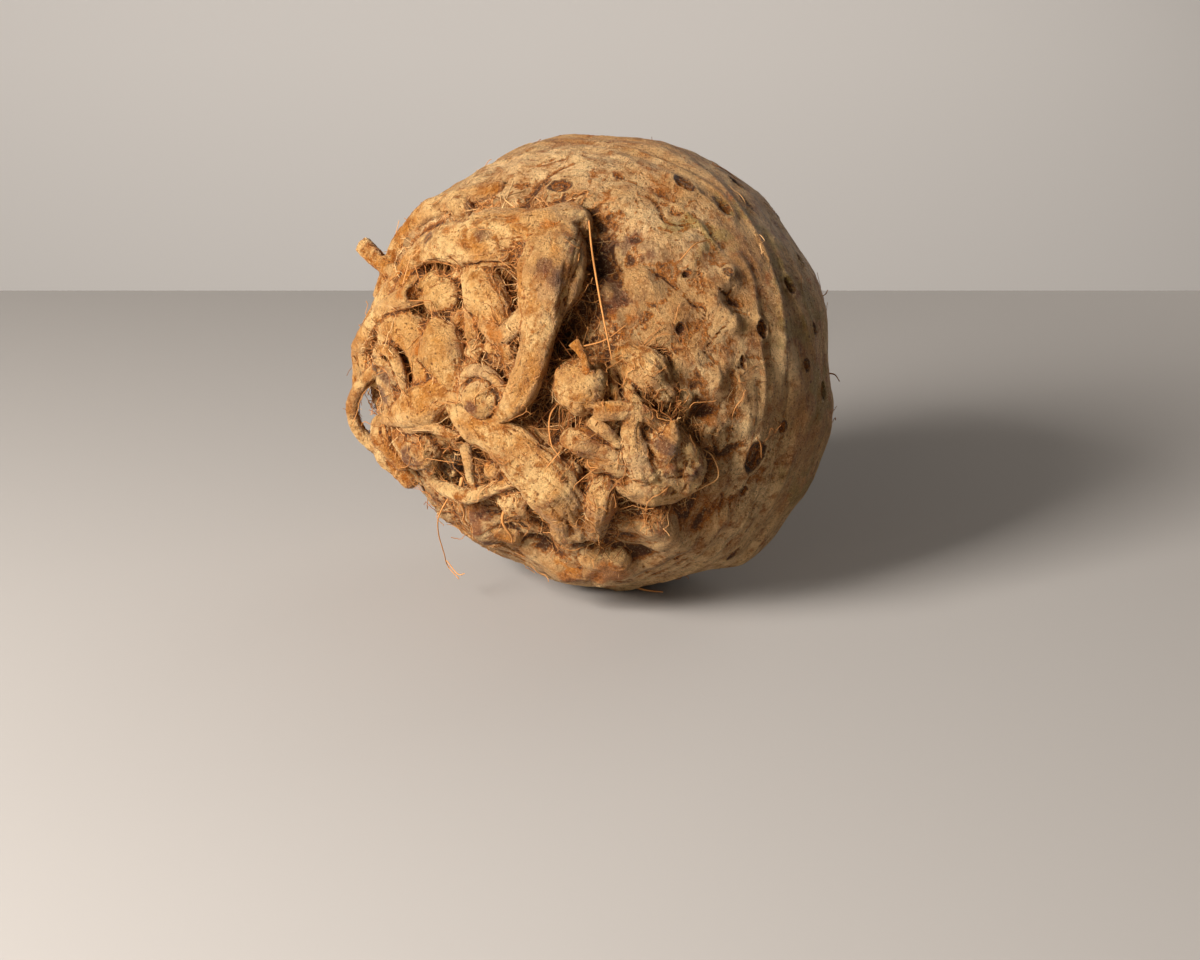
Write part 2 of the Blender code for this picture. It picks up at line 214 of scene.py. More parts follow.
LOWER_ROOTS = {
    # Lower left: a ringed brown stump with a thin root arched over it.
    "stump": dict(path=((-26, -15, 3.6, 4.4), (-20, -16, 5.6, 5.6), (-16, -16, 6.2, 5.0)), flat=0.85),
    "stump_arc": dict(path=((-21.5, -15, 6.5, 1.2), (-19.5, -11.5, 8.3, 1.3), (-15, -10, 8.8, 1.3),
                            (-10, -9, 8.6, 1.3), (-5, -11, 6.5, 1.3))),
    "left_lump": dict(path=((-35, -15, 5.5, 2.8), (-33, -18, 6.2, 3.3), (-31, -24, 4, 2.8))),
    "left_low": dict(path=((-39, -20, 5, 2.4), (-40, -26, 5, 2.8), (-36, -32, 2.5, 2.8))),
    "low_arc": dict(path=((-19, -27, 3, 1.5), (-11, -26, 5.5, 1.8), (-4, -25.5, 6.5, 1.9),
                          (3, -22.5, 6.5, 1.8), (11, -19, 5, 1.8))),
    "hook": dict(path=((-3, -14, 5.5, 1.3), (-2, -18, 6.3, 1.3), (-2, -21, 6.3, 1.0), (-0.5, -24, 6, 0.6))),
    "dark_ring": dict(path=((-12, -21, 0, 3.2), (-12, -21, 3.6, 3.0)), tip="cut"),
    # The big root that runs down to the right and its grey folds.
    "diagonal": dict(path=((22, -31, 2.5, 6), (19, -21, 5, 7.2), (14, -14.5, 6, 6.2),
                           (8, -10, 6.3, 5.4), (1.5, -7.5, 6.5, 4.3), (-4, -4, 6.5, 3.2),
                           (-6.5, 0.5, 6.8, 1.4)), flat=0.85, rough=0.75),
    "outer_fold": dict(path=((30.5, -16, 4, 2.4), (28.6, -23, 6.0, 3.8), (25.6, -32, 4.2, 3.2)), flat=0.9),
    "inner_fold": dict(path=((22, -17, 5.0, 3.2), (20.5, -25, 6.4, 4.2), (19.5, -33, 4.6, 3.6)), flat=0.75),
    "low_finger": dict(path=((9, -24, 4, 1.8), (8, -28, 5, 2))),
    # The fist of flattened, fused roots on the right.
    "round_knob": dict(path=((25, 4, 4.6, 6.6), (25, 4, 6.0, 6.2)), rough=0.8),
    "grey_stub": dict(path=((26, 6, 9, 1.2), (26, 9, 10.6, 1.0), (24.5, 12, 11.4, 1.2),
                            (23, 13.5, 11.6, 1.6)), tip="cut", flat=0.6),
    "top_slab": dict(path=((43, -5, 5, 2.2), (38, -0.7, 7.5, 2.4), (33, -0.2, 8.7, 2.2),
                           (28.5, -0.6, 9.6, 2.0)), tip="cut", flat=0.7),
    "small_finger": dict(path=((28, -3, 8.7, 1.2), (30.5, -4.2, 9.6, 1.4), (33.5, -7.5, 8.7, 1.1))),
    "left_lobe": dict(path=((37, -15, 3.5, 4.0), (32.5, -12, 5, 3.7), (29, -9.2, 6.8, 2.9),
                            (25.5, -7.6, 7.8, 3.3), (24, -7.2, 8, 3.0))),
    "left_lobe_knob": dict(path=((30, -12.5, 6, 2.4), (28.5, -13, 6.2, 2.3))),
    "band": dict(path=((37, -0.5, 7.3, 2.4), (36.3, -5, 7.6, 2.5), (37.5, -10, 6.8, 3.4),
                       (39, -14, 6, 4.2))),
    "big_lobe": dict(path=((33, -17.5, 2.5, 3.8), (40, -17, 4.2, 6.0), (47.5, -17.5, 4.0, 4.8)), flat=0.8),
    "right_lobe": dict(path=((42, -4, 4.5, 2.8), (47, -9, 5, 3.3), (50.5, -15, 4, 3.0))),
    "flap": dict(path=((44.5, -2.5, 7.4, 0.9), (44, -6, 8.0, 2.3), (43, -9.5, 7.6, 3.0),
                       (42.5, -11.5, 6.6, 2.0)), flat=0.7),
    "fist_base": dict(path=((39, -6, 3.2, 5.0), (42, -9, 3.8, 5.6), (44, -13, 3.4, 6.2)), flat=0.9),
    "fist_heart": dict(path=((39, -5, 5.0, 2.8), (40.5, -9, 5.2, 3.2), (41, -14, 5.6, 3.4)), flat=0.8),
    "lower_lobe": dict(path=((35, -18, 4.4, 3.2), (41, -20.5, 4.6, 4.4), (47, -20, 3.4, 3.8)), flat=0.75),
    "right_mound": dict(path=((35, 11, 1.0, 4.0), (39, 8, 1.4, 5.4), (43, 4, 0.4, 4.6)), flat=0.85),
    "leaning_plate": dict(path=((31, 8, 2.5, 1.2), (32, 4, 5.2, 1.4), (33.5, 1.5, 5.6, 1.0)), flat=1.5),
    "second_plate": dict(path=((35, 5, 4, 1.3), (36.5, 2, 6.2, 1.6), (39, 1, 4.5, 1.3)), flat=1.3),
    # Small lumps in the skin at the foot of the tangle.
    "foot_lump": dict(path=((23, -47, 0.5, 4.0), (28, -48, 0.8, 4.2)), flat=0.8),
    "foot_roll": dict(path=((12, -51, 0.4, 3.0), (17, -53, 1.0, 3.2), (21, -55, 0.2, 2.8)), flat=0.8),
    "foot_ridge": dict(path=((-9, -36, 0.6, 3.2), (-4, -38, 1.8, 3.6), (1, -41, 0.6, 3.0)), flat=0.8),
    "foot_knob": dict(path=((37, -33, 1.4, 2.4), (40, -36, 2.0, 2.6), (44, -38, 0.8, 2.2)), flat=0.9),
    # A dark knob on the fist's right side.
    "purple_knob": dict(path=((47, -14, 5.0, 3.2), (48.5, -15, 5.4, 2.8))),
}

# Knobs, where a root was grown over or broke off: east, north, lift, radius.
UPPER_KNOBS = (
    (-24, 43, 1.5, 3.0), (-0.3, 9, 5, 2.7), (4, 10.5, 5.2, 2.2), (8, 9, 4.5, 2.4),
    (-8, 15, 3.0, 2.4), (-30, 14, 2.5, 3.2), (-12, 26, 2.0, 2.6),
)
LOWER_KNOBS = (
    (4, -18, 5, 2.3), (8, -26, 2.5, 4.5), (-11, -12, 2.5, 3.5), (-27, -15, 2.5, 3.2),
)


def over_skin(path):
    """Turns east, north, lift, radius into points with radii."""
    east, north, lift, radius = np.array(path, float).T
    return np.column_stack([on_skin(east, north, lift), radius])


def smooth_path(points, spacing):
    """Points and radii at even steps along a curve through the given points with radii."""
    ends = np.vstack([2 * points[0] - points[1], points, 2 * points[-1] - points[-2]])
    fine = []
    for before, start, stop, after in zip(ends, ends[1:], ends[2:], ends[3:]):
        for t in np.linspace(0, 1, 24, endpoint=False):
            fine.append(0.5 * (
                2 * start + (stop - before) * t
                + (2 * before - 5 * start + 4 * stop - after) * t ** 2
                + (3 * start - before - 3 * stop + after) * t ** 3
            ))
    fine.append(points[-1])
    fine = np.array(fine)
    travel = np.concatenate([[0], np.cumsum(np.linalg.norm(np.diff(fine[:, :3], axis=0), axis=1))])
    count = max(3, int(travel[-1] / spacing) + 1)
    even = np.linspace(0, travel[-1], count)
    return np.column_stack([np.interp(even, travel, fine[:, k]) for k in range(4)])


def turning_frames(centres):
    """A tangent and two crossways directions at each centre, turning as little as they can."""
    tangents = np.gradient(centres, axis=0)
    tangents /= np.linalg.norm(tangents, axis=1)[:, None]
    up = centres[0] - BULB_CENTRE
    ups = []
    for tangent in tangents:
        up = up - tangent * (up @ tangent)
        up = up / np.linalg.norm(up)
        ups.append(up)
    ups = np.array(ups)
    return tangents, ups, np.cross(tangents, ups)


def grow_rod(path, tip="round", flat=1.0, curl=0.0, spacing=ROD_SPACING, rough=1.0):
    """One root: its closed skin as points and faces, its line of beads, and how rough it is.

    A bead is a centre, a radius, the tangent, up and side there, and the run along the root.
    Flat squashes the root's section, and curl bends the section into a crescent.
    """
    line = smooth_path(path, spacing)
    centres, radii = line[:, :3], np.maximum(line[:, 3], THINNEST)
    tangents, ups, sides = turning_frames(centres)
    around = max(7, int(2 * math.pi * radii.max() / spacing))
    last = len(centres) - 1
    steps = max(3, int(radii[0] * 1.4 / spacing))
    slopes = [math.pi / 2 * (1 - k / steps) for k in range(1, steps)]
    rings = [(0, -math.sin(slope), math.cos(slope)) for slope in slopes]
    rings += [(k, 0.0, 1.0) for k in range(last + 1)]
    tip_depth = 1.0
    if tip == "cut":
        rings += [(last, depth, share) for depth, share in CUT_END]
        tip_depth = CUT_END_MIDDLE
    else:
        steps = max(3, int(radii[last] * 1.4 / spacing))
        slopes = [math.pi / 2 * k / steps for k in range(1, steps)]
        rings += [(last, math.sin(slope), math.cos(slope)) for slope in slopes]
    turns = np.linspace(0, 2 * math.pi, around, endpoint=False)[:, None]
    raised = flat * np.cos(turns) + curl * np.sin(turns) ** 2
    points = [
        centres[k] + tangents[k] * forward * radii[k]
        + (raised * ups[k] + np.sin(turns) * sides[k]) * radii[k] * share
        for k, forward, share in rings
    ]
    points.append(np.array([
        centres[0] - tangents[0] * radii[0], centres[last] + tangents[last] * radii[last] * tip_depth,
    ]))
    count = len(rings)
    faces = []
    for col in range(around):
        beside = (col + 1) % around
        for row in range(0, (count - 1) * around, around):
            faces.append((row + col, row + beside, row + around + beside, row + around + col))
        faces.append((count * around, beside, col))
        faces.append((count * around + 1, (count - 1) * around + col, (count - 1) * around + beside))
    run = np.arange(last + 1) * spacing
    return np.vstack(points), faces, np.column_stack([centres, radii, tangents, ups, sides, run]), rough


def knob_path(east, north, lift, radius):
    """A knob is a very short rod that stands straight out of the skin."""
    return ((east, north, lift - 0.15 * radius, radius), (east, north, lift + 0.15 * radius, radius))


def make_piece(name, points, faces):
    """A smooth-shaded object from points in millimetres."""
    mesh = bpy.data.meshes.new(name)
    mesh.from_pydata((points * MM).tolist(), [], faces)
    mesh.update()
    mesh.shade_smooth()
    piece = bpy.data.objects.new(name, mesh)
    bpy.context.collection.objects.link(piece)
    return piece


def vectors_of(values, field):
    """One kind of vector of a mesh, as a table of three columns."""
    flat = np.empty(len(values) * 3)
    values.foreach_get(field, flat)
    return flat.reshape(-1, 3)


def points_of(piece):
    return vectors_of(piece.data.vertices, "co") / MM


def normals_of(piece):
    return vectors_of(piece.data.vertex_normals, "vector")


def move_points(piece, points):
    """Puts the points in new places, in millimetres. None may sink into the table."""
    points[:, 2] = np.maximum(points[:, 2], 0.0)
    piece.data.vertices.foreach_set("co", (points * MM).ravel())
    piece.data.update()


def keep_mask(piece, name, values):
    """Stores one value per point, which the material and the hair roots read."""
    layer = piece.data.attributes.new(name, "FLOAT", "POINT")
    layer.data.foreach_set("value", np.asarray(values, np.float32))


def join_rods(name, rods):
    """Several rods as one object, still separate skins."""
    points, faces, count = [], [], 0
    for rod_points, rod_faces, _, _ in rods:
        points.append(rod_points)
        faces += [tuple(corner + count for corner in face) for face in rod_faces]
        count += len(rod_points)
    return make_piece(name, np.vstack(points), faces)


def made_plain(piece, name):
    """The piece as its modifiers leave it, as a plain mesh under a new name."""
    bpy.context.view_layer.update()
    shown = piece.evaluated_get(bpy.context.evaluated_depsgraph_get())
    mesh = bpy.data.meshes.new_from_object(shown)
    bpy.data.objects.remove(piece, do_unlink=True)
    mesh.name = name
    mesh.shade_smooth()
    plain = bpy.data.objects.new(name, mesh)
    bpy.context.collection.objects.link(plain)
    return plain


def fuse_rods(name, rods):
    """Grows the rods together into one even closed skin."""
    loose = join_rods("loose_rods", rods)
    remesh = loose.modifiers.new("grow_together", "REMESH")
    remesh.mode = "VOXEL"
    remesh.voxel_size = FUSING_VOXEL * MM
    even = loose.modifiers.new("even_out", "SMOOTH")
    even.factor = 0.5
    even.iterations = 2
    return made_plain(loose, name)


def hollows(piece, rounds):
    """How far each point lies below its smoothed surroundings, in millimetres."""
    points, normals = points_of(piece), normals_of(piece)
    edges = np.empty(len(piece.data.edges) * 2, np.int64)
    piece.data.edges.foreach_get("vertices", edges)
    first, second = edges[0::2], edges[1::2]
    count = len(points)
    shared = np.bincount(first, minlength=count) + np.bincount(second, minlength=count)
    smooth = points.copy()
    for _ in range(rounds):
        smooth = np.column_stack([
            (np.bincount(first, smooth[second, axis], count)
             + np.bincount(second, smooth[first, axis], count)) / shared
            for axis in range(3)
        ])
    return np.einsum("ij,ij->i", smooth - points, normals)


def slices(points, size=8000):
    """Parts small enough to measure every point in one against every bead."""
    return [slice(start, start + size) for start in range(0, len(points), size)]


def apart_from(points, centres):
    """Every point's distance from every centre."""
    squared = (points ** 2).sum(axis=1)[:, None] + (centres ** 2).sum(axis=1) - 2 * points @ centres.T
    return np.sqrt(np.maximum(squared, 1e-6))


# The columns of a table of beads.
CENTRE, RADIUS, TANGENT, UP, SIDE = slice(0, 3), 3, slice(4, 7), slice(7, 10), slice(10, 13)
RUN, OWNER, ROUGH = 13, 14, 15


def nearest_bead(points, beads):
    """For each point, which bead's surface is nearest."""
    return np.concatenate([
        (apart_from(points[part], beads[:, CENTRE]) - beads[:, RADIUS]).argmin(axis=1)
        for part in slices(points)
    ])


SHUT_IN_REACH = 16
SHUT_IN_GAIN = 0.34


def shut_in(points, normals, beads, own=None):
    """How much the roots round a place close it in: 0 in the open, 1 deep between roots."""
    closed = np.zeros(len(points))
    every_other = beads[::2]
    centres, radii = every_other[:, CENTRE], every_other[:, RADIUS]
    for part in slices(points):
        distance = apart_from(points[part], centres)
        level = (normals[part] * points[part]).sum(axis=1)[:, None]
        facing = (normals[part] @ centres.T - level) / distance
        share = np.clip(facing + 0.15, 0, 1) * np.minimum((radii / distance) ** 2, 1.0)
        share *= distance < SHUT_IN_REACH
        if own is not None:
            share *= every_other[:, OWNER] != own[part, None]
        closed[part] = share.sum(axis=1)
    return np.clip(closed * SHUT_IN_GAIN, 0, 1)


FULLY_WRINKLED_RADIUS = 6.0
GRAIN_SHIFT = 37.0


def wrinkle(piece, beads):
    """Lumps, lengthwise furrows, cross creases and peeling layers, to the nearest root's thickness."""
    points, normals = points_of(piece), normals_of(piece)
    bead = beads[nearest_bead(points, beads)]
    away = points - bead[:, CENTRE]
    up, side, onward = (np.einsum("ij,ij->i", away, bead[:, way]) for way in (UP, SIDE, TANGENT))
    grain = np.column_stack([up, side, bead[:, RUN] + onward]) + bead[:, [OWNER]] * GRAIN_SHIFT
    thick = np.minimum(bead[:, RADIUS], FULLY_WRINKLED_RADIUS)
    size = (thick / FULLY_WRINKLED_RADIUS) ** 0.5
    broad = 0.20 * thick * layered_noise(points, 9.0, 2, 41)
    middle = 0.06 * thick * layered_noise(points, 4.2, 2, 47)
    furrow = np.exp(-(lattice_noise(grain, np.array([2.1, 2.1, 15.0]), 42) / 0.10) ** 2)
    crease = np.exp(-(lattice_noise(grain, np.array([8.0, 8.0, 3.0]), 44) / 0.07) ** 2)
    creased = step_between(0.0, 0.35, lattice_noise(points, 6.0, 48))
    peel = step_between(0.0, 0.10, lattice_noise(grain, np.array([4.5, 4.5, 13.0]), 49))
    lengthwise = lattice_noise(grain, np.array([0.9, 0.9, 7.0]), 43)
    fine = (
        -0.34 * furrow * size - 0.30 * crease * creased * size
        + 0.30 * peel * size + 0.09 * lengthwise + 0.13 * layered_noise(points, 1.2, 2, 45)
    )
    height = (broad + middle) * (0.4 + 0.6 * bead[:, ROUGH]) + fine * bead[:, ROUGH]
    move_points(piece, points + normals * height[:, None])
    keep_mask(piece, "peel", peel)
    return bead


def grow_roots(roots, knobs):
    """The rods of some roots and knobs, in the order they are listed."""
    rods = [
        grow_rod(over_skin(root["path"]), root.get("tip", "round"), root.get("flat", 1.0),
                 rough=root.get("rough", 1.0))
        for root in roots.values()
    ]
    return rods + [grow_rod(over_skin(knob_path(*knob))) for knob in knobs]


def beads_of(rods):
    """The rods' lines as one table of beads, with each rod's number and roughness at the end."""
    return np.vstack([
        np.column_stack([rod[2], np.full(len(rod[2]), float(number)), np.full(len(rod[2]), rod[3])])
        for number, rod in enumerate(rods)
    ])


upper_rods = grow_roots(UPPER_ROOTS, UPPER_KNOBS)
lower_rods = grow_roots(LOWER_ROOTS, LOWER_KNOBS)
beads = beads_of(upper_rods + lower_rods)
upper_roots = fuse_rods("upper_roots", upper_rods)
lower_roots = fuse_rods("lower_roots", lower_rods)


# ------------------------------------------------------------
# The bulb's skin. It is a corky rind over the swollen stem: fine rings run round it, old side
# roots left oval scars, and towards the root end it is lumpy and rises into a collar round each
# thick root. Low ridges run round its girth, and the far side is smoother.
# ------------------------------------------------------------
SKIN_GRID = 127
FRONT_DENSITY = 0.42

# Swellings and hollows of the bulb: east, north, height, spread.
SWELLINGS = (
    (66, -66, 3.8, 17), (88, -44, 2.8, 16), (101, -18, 2.8, 18), (95, 45, 1.4, 24),
    (62, 82, 1.5, 16), (-5, 86, -1.2, 18), (-52, 8, 3.5, 20), (-50, 38, 3.5, 13),
    (-12, -66, -1.5, 14), (0, 0, 1.6, 26), (24, 38, -1.6, 8), (20, 15, -5.0, 5),
    (17, -2, -3.5, 4), (-21, 27, -3.0, 4), (-11, -20, -3.0, 5), (-5, -38, 5.0, 6.5),
    (9, -44, -4.0, 4.5), (25, -50, 4.0, 7), (12, -53, 3.5, 6), (42, -39, 3.5, 7),
    (34, -44, -2.5, 4), (40, -29, 3.5, 6), (-22, -35, -1.5, 6), (-43, -12, 3.5, 6),
    (-36, 4, 4.0, 6), (-10, -10, 3.5, 8), (-26, 40, 2.5, 4), (-15, 41, -3.0, 3.5),
    (-43, 34, 3.0, 5),
)

# Warts and folds in the lumpy skin beside the roots: east, north, height, spread.
WARTS = (
    (34, 22, 1.7, 4.3), (36, 30, 1.8, 4.8), (27, 27, 1.8, 3.1), (44, 25, 1.7, 4.8),
    (37, 41, 1.8, 5), (45, 44, 1.3, 5), (30, 48, 1.4, 4.8), (22, 54, 1.4, 4.3),
    (12, 52, 1.5, 4.8), (2, 50, 1.4, 5), (53, 28, 1.8, 3.6), (58, 24, 1.5, 3.1),
    (54, 35, 1.3, 4.1), (48, 12, 1.3, 4.8), (47, 2, 1.5, 5), (54, -8, 1.4, 4.3),
    (57, 8, 1.1, 5.3), (35, 14, 1.5, 3.6), (41, 17, 1.3, 2.9), (56, -24, 1.7, 5),
    (50, -42, 1.5, 5.5), (60, -40, 1.3, 6), (38, -50, 1.4, 5.5), (-30, -42, 1.4, 6),
    (-15, 57, 1.1, 5.5), (-33, 55, 1.1, 6), (-7, -31, 2.1, 4.1), (2, -30, 2.2, 4.3),
    (10, -35, 1.8, 4.6), (16, -41, 1.7, 5), (4, -48, 1.5, 4.0), (20, -56, 1.6, 4.5),
    (31, -30, 2, 5), (38, -31, 1.8, 5.3), (45, -33, 1.7, 5.3), (35, -42, 1.4, 4.8),
    (-28, -32, 0.8, 4.8), (-33, 46, 1.8, 4.1), (-8, 44, 2.1, 4.8), (42, 13, -1.4, 2.6),
    (31, 36, -1, 2.9), (55, -2, -1.1, 2.9), (31, 43, -1, 2.6),
)

# Scars of old side roots: east, north, half width round the bulb, half height, depth.
SCARS = [
    (36, 64, 3.2, 1.9, 0.5), (18, 61, 1.6, 1.0, 0.3), (50, 77, 2.4, 1.4, 0.4),
    (49, 60, 3.2, 1.4, 0.2), (56, 66, 2.8, 1.0, 0.3), (68, 84, 2.2, 1.0, 0.4),
    (80, 51, 1.8, 1.0, 0.4), (75, 38, 2.2, 1.4, 0.6), (67, 22, 2.2, 1.5, 0.6),
    (87, 24, 1.8, 1.2, 0.4), (55, 37, 1.1, 1.1, 0.4), (45, 35, 0.9, 1.3, 0.6),
    (46, 20, 1.6, 1.3, 0.5), (63, 12, 2.0, 0.6, 0.5), (84, 11, 1.5, 1.2, 0.4),
    (94, 0, 2.4, 2.0, 0.5), (102, -33, 3.6, 2.4, 0.5), (77, -9, 1.6, 1.4, 0.4),
    (68, -17, 4.0, 3.0, 0.8), (65, -29, 1.4, 1.2, 0.4), (89, -51, 2.0, 1.6, 0.5),
    (59, -56, 2.4, 0.9, 0.4), (4, 54, 3.2, 2.4, 0.4),
]


def even_directions(grid):
    """A closed ball of quads, evenly spread, as unit directions."""
    ball = bmesh.new()
    bmesh.ops.create_cube(ball, size=2.0)
    bmesh.ops.subdivide_edges(ball, edges=ball.edges, cuts=grid - 1, use_grid_fill=True)
    points = np.array([vert.co for vert in ball.verts])
    ball.verts.index_update()
    faces = [tuple(vert.index for vert in face.verts) for face in ball.faces]
    ball.free()
    points = np.tan(points * math.pi / 4)
    return points / np.linalg.norm(points, axis=1)[:, None], faces


def scar_shape(east, north, ragged):
    """Height and darkness of the root scars: a raised rim round a sunken, corky oval."""
    reach = np.maximum(np.hypot(east, north), 1e-6)
    height, dark = np.zeros(len(east)), np.zeros(len(east))
    for scar_east, scar_north, wide, high, depth in SCARS:
        scar_reach = math.hypot(scar_east, scar_north)
        near = np.abs(east - scar_east) + np.abs(north - scar_north) < 40
        bearing = np.arctan2(east[near], north[near]) - math.atan2(scar_east, scar_north)
        bearing = (bearing + math.pi) % (2 * math.pi) - math.pi
        across = bearing * MAP_RADIUS * math.sin(scar_reach / MAP_RADIUS) / wide
        along = (reach[near] - scar_reach) / high
        out = np.hypot(across, along) * (1 + 0.16 * ragged[near])
        rim = np.exp(-((out - 1.15) / 0.22) ** 2)
        pit = 1 - step_between(0.45, 1.05, out)
        ring = np.exp(-((out - 0.85) / 0.2) ** 2)
        knob = np.exp(-(out / 0.35) ** 2)
        height[near] += depth * (0.75 * rim - 1.3 * pit + 0.6 * knob)
        dark[near] = np.maximum(dark[near], np.maximum(ring, 0.55 * pit))
    return height, dark


HIDDEN_SCARS = 46
HIDDEN_SCAR_GAP = 9
TO_THE_FRONT = np.array([0.0, -0.95, 0.31])


def hidden_scars():
    """Scars on the far side, strewn at random but never crowded."""
    rng = random.Random(7)
    made = []
    while len(made) < HIDDEN_SCARS:
        reach = rng.uniform(52, 138)
        bearing = math.radians(rng.uniform(0, 360))
        east, north = reach * math.sin(bearing), reach * math.cos(bearing)
        seen = directions_at(east, north) @ TO_THE_FRONT > -0.05
        crowded = any(math.hypot(east - scar[0], north - scar[1]) < HIDDEN_SCAR_GAP for scar in made)
        if seen or crowded:
            continue
        wide = rng.uniform(1.2, 3.4)
        made.append((east, north, wide, wide * rng.uniform(0.5, 0.85), rng.uniform(0.3, 0.6)))
    return made


SCARS += hidden_scars()


def collar_height(points, directions, ground):
    """How far the skin climbs the sides of the roots that grow out of it."""
    rise = np.zeros(len(points))
    outward, radii = beads[:, CENTRE] - BULB_CENTRE, beads[:, RADIUS]
    for part in slices(points):
        level = directions[part] @ outward.T
        apart = np.sqrt(np.maximum((outward ** 2).sum(axis=1)[None] - level ** 2, 0))
        gap = level - radii - ground[part, None]
        blend = 1 - step_between(0.55, 1.5, apart / radii)
        climb = level - 0.15 * radii - ground[part, None]
        climb = climb * blend * (1 - step_between(0.3, 1.6, gap))
        rise[part] = np.maximum(climb.max(axis=1), 0)
    return rise


CROWN_RISE = 3.4
LEAF_SCAR_SPACING = 4.4
skin_directions, skin_faces = even_directions(SKIN_GRID)
lean = np.array([-0.25, -0.9, 0.25])
skin_directions = skin_directions + FRONT_DENSITY * lean / np.linalg.norm(lean)
skin_directions /= np.linalg.norm(skin_directions, axis=1)[:, None]
skin_east, skin_north = map_of(skin_directions)
skin_reach = np.hypot(skin_east, skin_north)
plain = plain_radius(skin_directions)
plain_points = skin_directions * plain[:, None]


def swelling_height(spots, wander):
    """The swellings added up, their outlines made uneven by wandering from place to place."""
    uneven_east = skin_east + wander * lattice_noise(plain_points, 4.5 * wander, 1)
    uneven_north = skin_north + wander * lattice_noise(plain_points, 4.5 * wander, 2)
    return sum(
        rise * np.exp(-((uneven_east - east) ** 2 + (uneven_north - north) ** 2) / spread ** 2)
        for east, north, rise, spread in spots
    )


# Where the skin is rough: all over the root end and in a ragged belt round it.
belt = skin_reach + 9 * layered_noise(plain_points, 30, 2, 3)
root_end = 1 - step_between(34, 50, np.hypot(skin_east + 6, skin_north + 8) + belt - skin_reach)
rough_belt = 1 - step_between(54, 86, belt + 0.25 * (skin_east < 0) * np.abs(skin_east))
ringed = step_between(45, 85, skin_reach)

# Rings are long round the bulb and short along the plant axis.
sideways = plain_points - np.outer(plain_points @ OUTWARD, OUTWARD)


def ring_noise(length, height, seed):
    """Noise drawn out round the bulb."""
    place = np.column_stack([
        sideways @ EAST / length, sideways @ NORTH / length, skin_reach / height,
    ])
    return lattice_noise(place, 1.0, seed)


warp = np.column_stack([lattice_noise(plain_points, 11.0, seed) for seed in (21, 22, 23)])
warped = plain_points + 4.0 * warp
folded = np.abs(lattice_noise(warped, 7.5, 12)) - 0.3
lumpy = layered_noise(warped, 10.0, 2, 13)
cracks = np.exp(-(lattice_noise(warped, 9.0, 14) / 0.035) ** 2) * step_between(
    0.0, 0.3, lattice_noise(plain_points, 12.0, 24))
felt = layered_noise(plain_points, 1.3, 2, 18)
peeling = step_between(0.0, 0.09, lattice_noise(warped, 8.0, 25))

skin_height = swelling_height(SWELLINGS, 2.0) + swelling_height(WARTS, 1.6)
skin_height += 0.55 * layered_noise(plain_points, 24, 2, 11)
skin_height += rough_belt * (0.9 * folded + 0.9 * lumpy - 0.55 * cracks + 0.30 * peeling)
skin_height += root_end * (0.7 * np.maximum(pebbles(warped, 4.2, 15), 0) + 0.5 * folded)
skin_height += (0.07 + 0.24 * root_end + 0.13 * rough_belt) * felt
skin_height += ringed * (0.85 * ring_noise(30, 7.0, 16) + 0.15 * peeling)
skin_height += (0.35 + 0.65 * ringed) * 0.22 * ring_noise(16, 2.6, 17)
ridge_band = step_between(56, 68, skin_reach) * (1 - step_between(80, 98, skin_reach))
long_ridges = np.exp(-(ring_noise(26, 6.5, 28) / 0.16) ** 2)
skin_height += 0.55 * ridge_band * long_ridges
scar_height, scar_dark = scar_shape(skin_east, skin_north, layered_noise(plain_points, 2.5, 2, 26))
skin_height += scar_height
crown_reach = math.pi * MAP_RADIUS - skin_reach
skin_height += CROWN_RISE * (1 - step_between(12, 28, crown_reach))
leaf_wander = 6.5 * layered_noise(plain_points, 17, 3, 27)
leaf_ridge = np.sin(crown_reach * 2 * math.pi / LEAF_SCAR_SPACING + leaf_wander)
crownward = 1 - step_between(22, 44, crown_reach)
skin_height += crownward * (0.42 * leaf_ridge * (1 + 0.9 * lumpy) + 0.9 * folded + 0.5 * lumpy)
collar = collar_height(plain_points, skin_directions, plain + skin_height)
collar *= 1 + 0.25 * layered_noise(plain_points, 2.4, 2, 19)
bulb_skin = make_piece("bulb_skin", plain_points * 0, skin_faces)
move_points(bulb_skin, BULB_CENTRE + skin_directions * (plain + skin_height + collar)[:, None])

# Where soil, painted shade, hair roots and stains lie, which the materials and the hair roots read.
# Stains by kind: east, north, spread.
STAINS = {
    "purple": (
        (29, 38, 6.5), (31, 28, 5), (28, 32, 5), (-17, -17, 3.5), (2, -2.5, 1.8), (-2, -37, 6),
        (-31, -41, 6), (49, -14, 3.5), (-24, -2, 5), (37, -30, 4), (-2, 33, 2.5), (-17, 31, 2),
        (16, 27, 3), (42, -8, 3),
    ),
    "olive": (
        (42, 50, 7), (49, 49, 6), (61, 57, 6), (70, 47, 6), (53, 67, 8), (84, 30, 14), (96, 0, 16),
        (88, -40, 14),
    ),
    "black": (
        (-16, 40, 3), (9, -43, 3.5), (20, -40, 3), (-13, -21, 4.5), (-9, -23, 4), (-31, -9, 2.5),
        (-37, -10, 2.5), (-22, 17, 2.5), (18, -3, 5), (21, 14, 4), (-24, 26, 3), (31, -8, 2),
    ),
    "rust": (
        (13, 38, 3), (-18, 18, 2), (27, 9, 1.6), (25, -50, 6), (12, -53, 4), (-5, -34, 4),
        (54, -3, 4), (45, -33, 5), (33, -26, 4), (18, -22, 3), (42, 5, 4), (4, 13, 3), (-13, 8, 2),
        (31, 20, 4),
    ),
    "dust": (
        (-23, -2, 5), (20, -25, 6), (27, -27, 5), (40, -13, 7), (-17, -15, 4), (17, 22, 5),
        (12, 47, 5), (5, 5, 4), (29, 42, 4), (44, -32, 4),
    ),
}


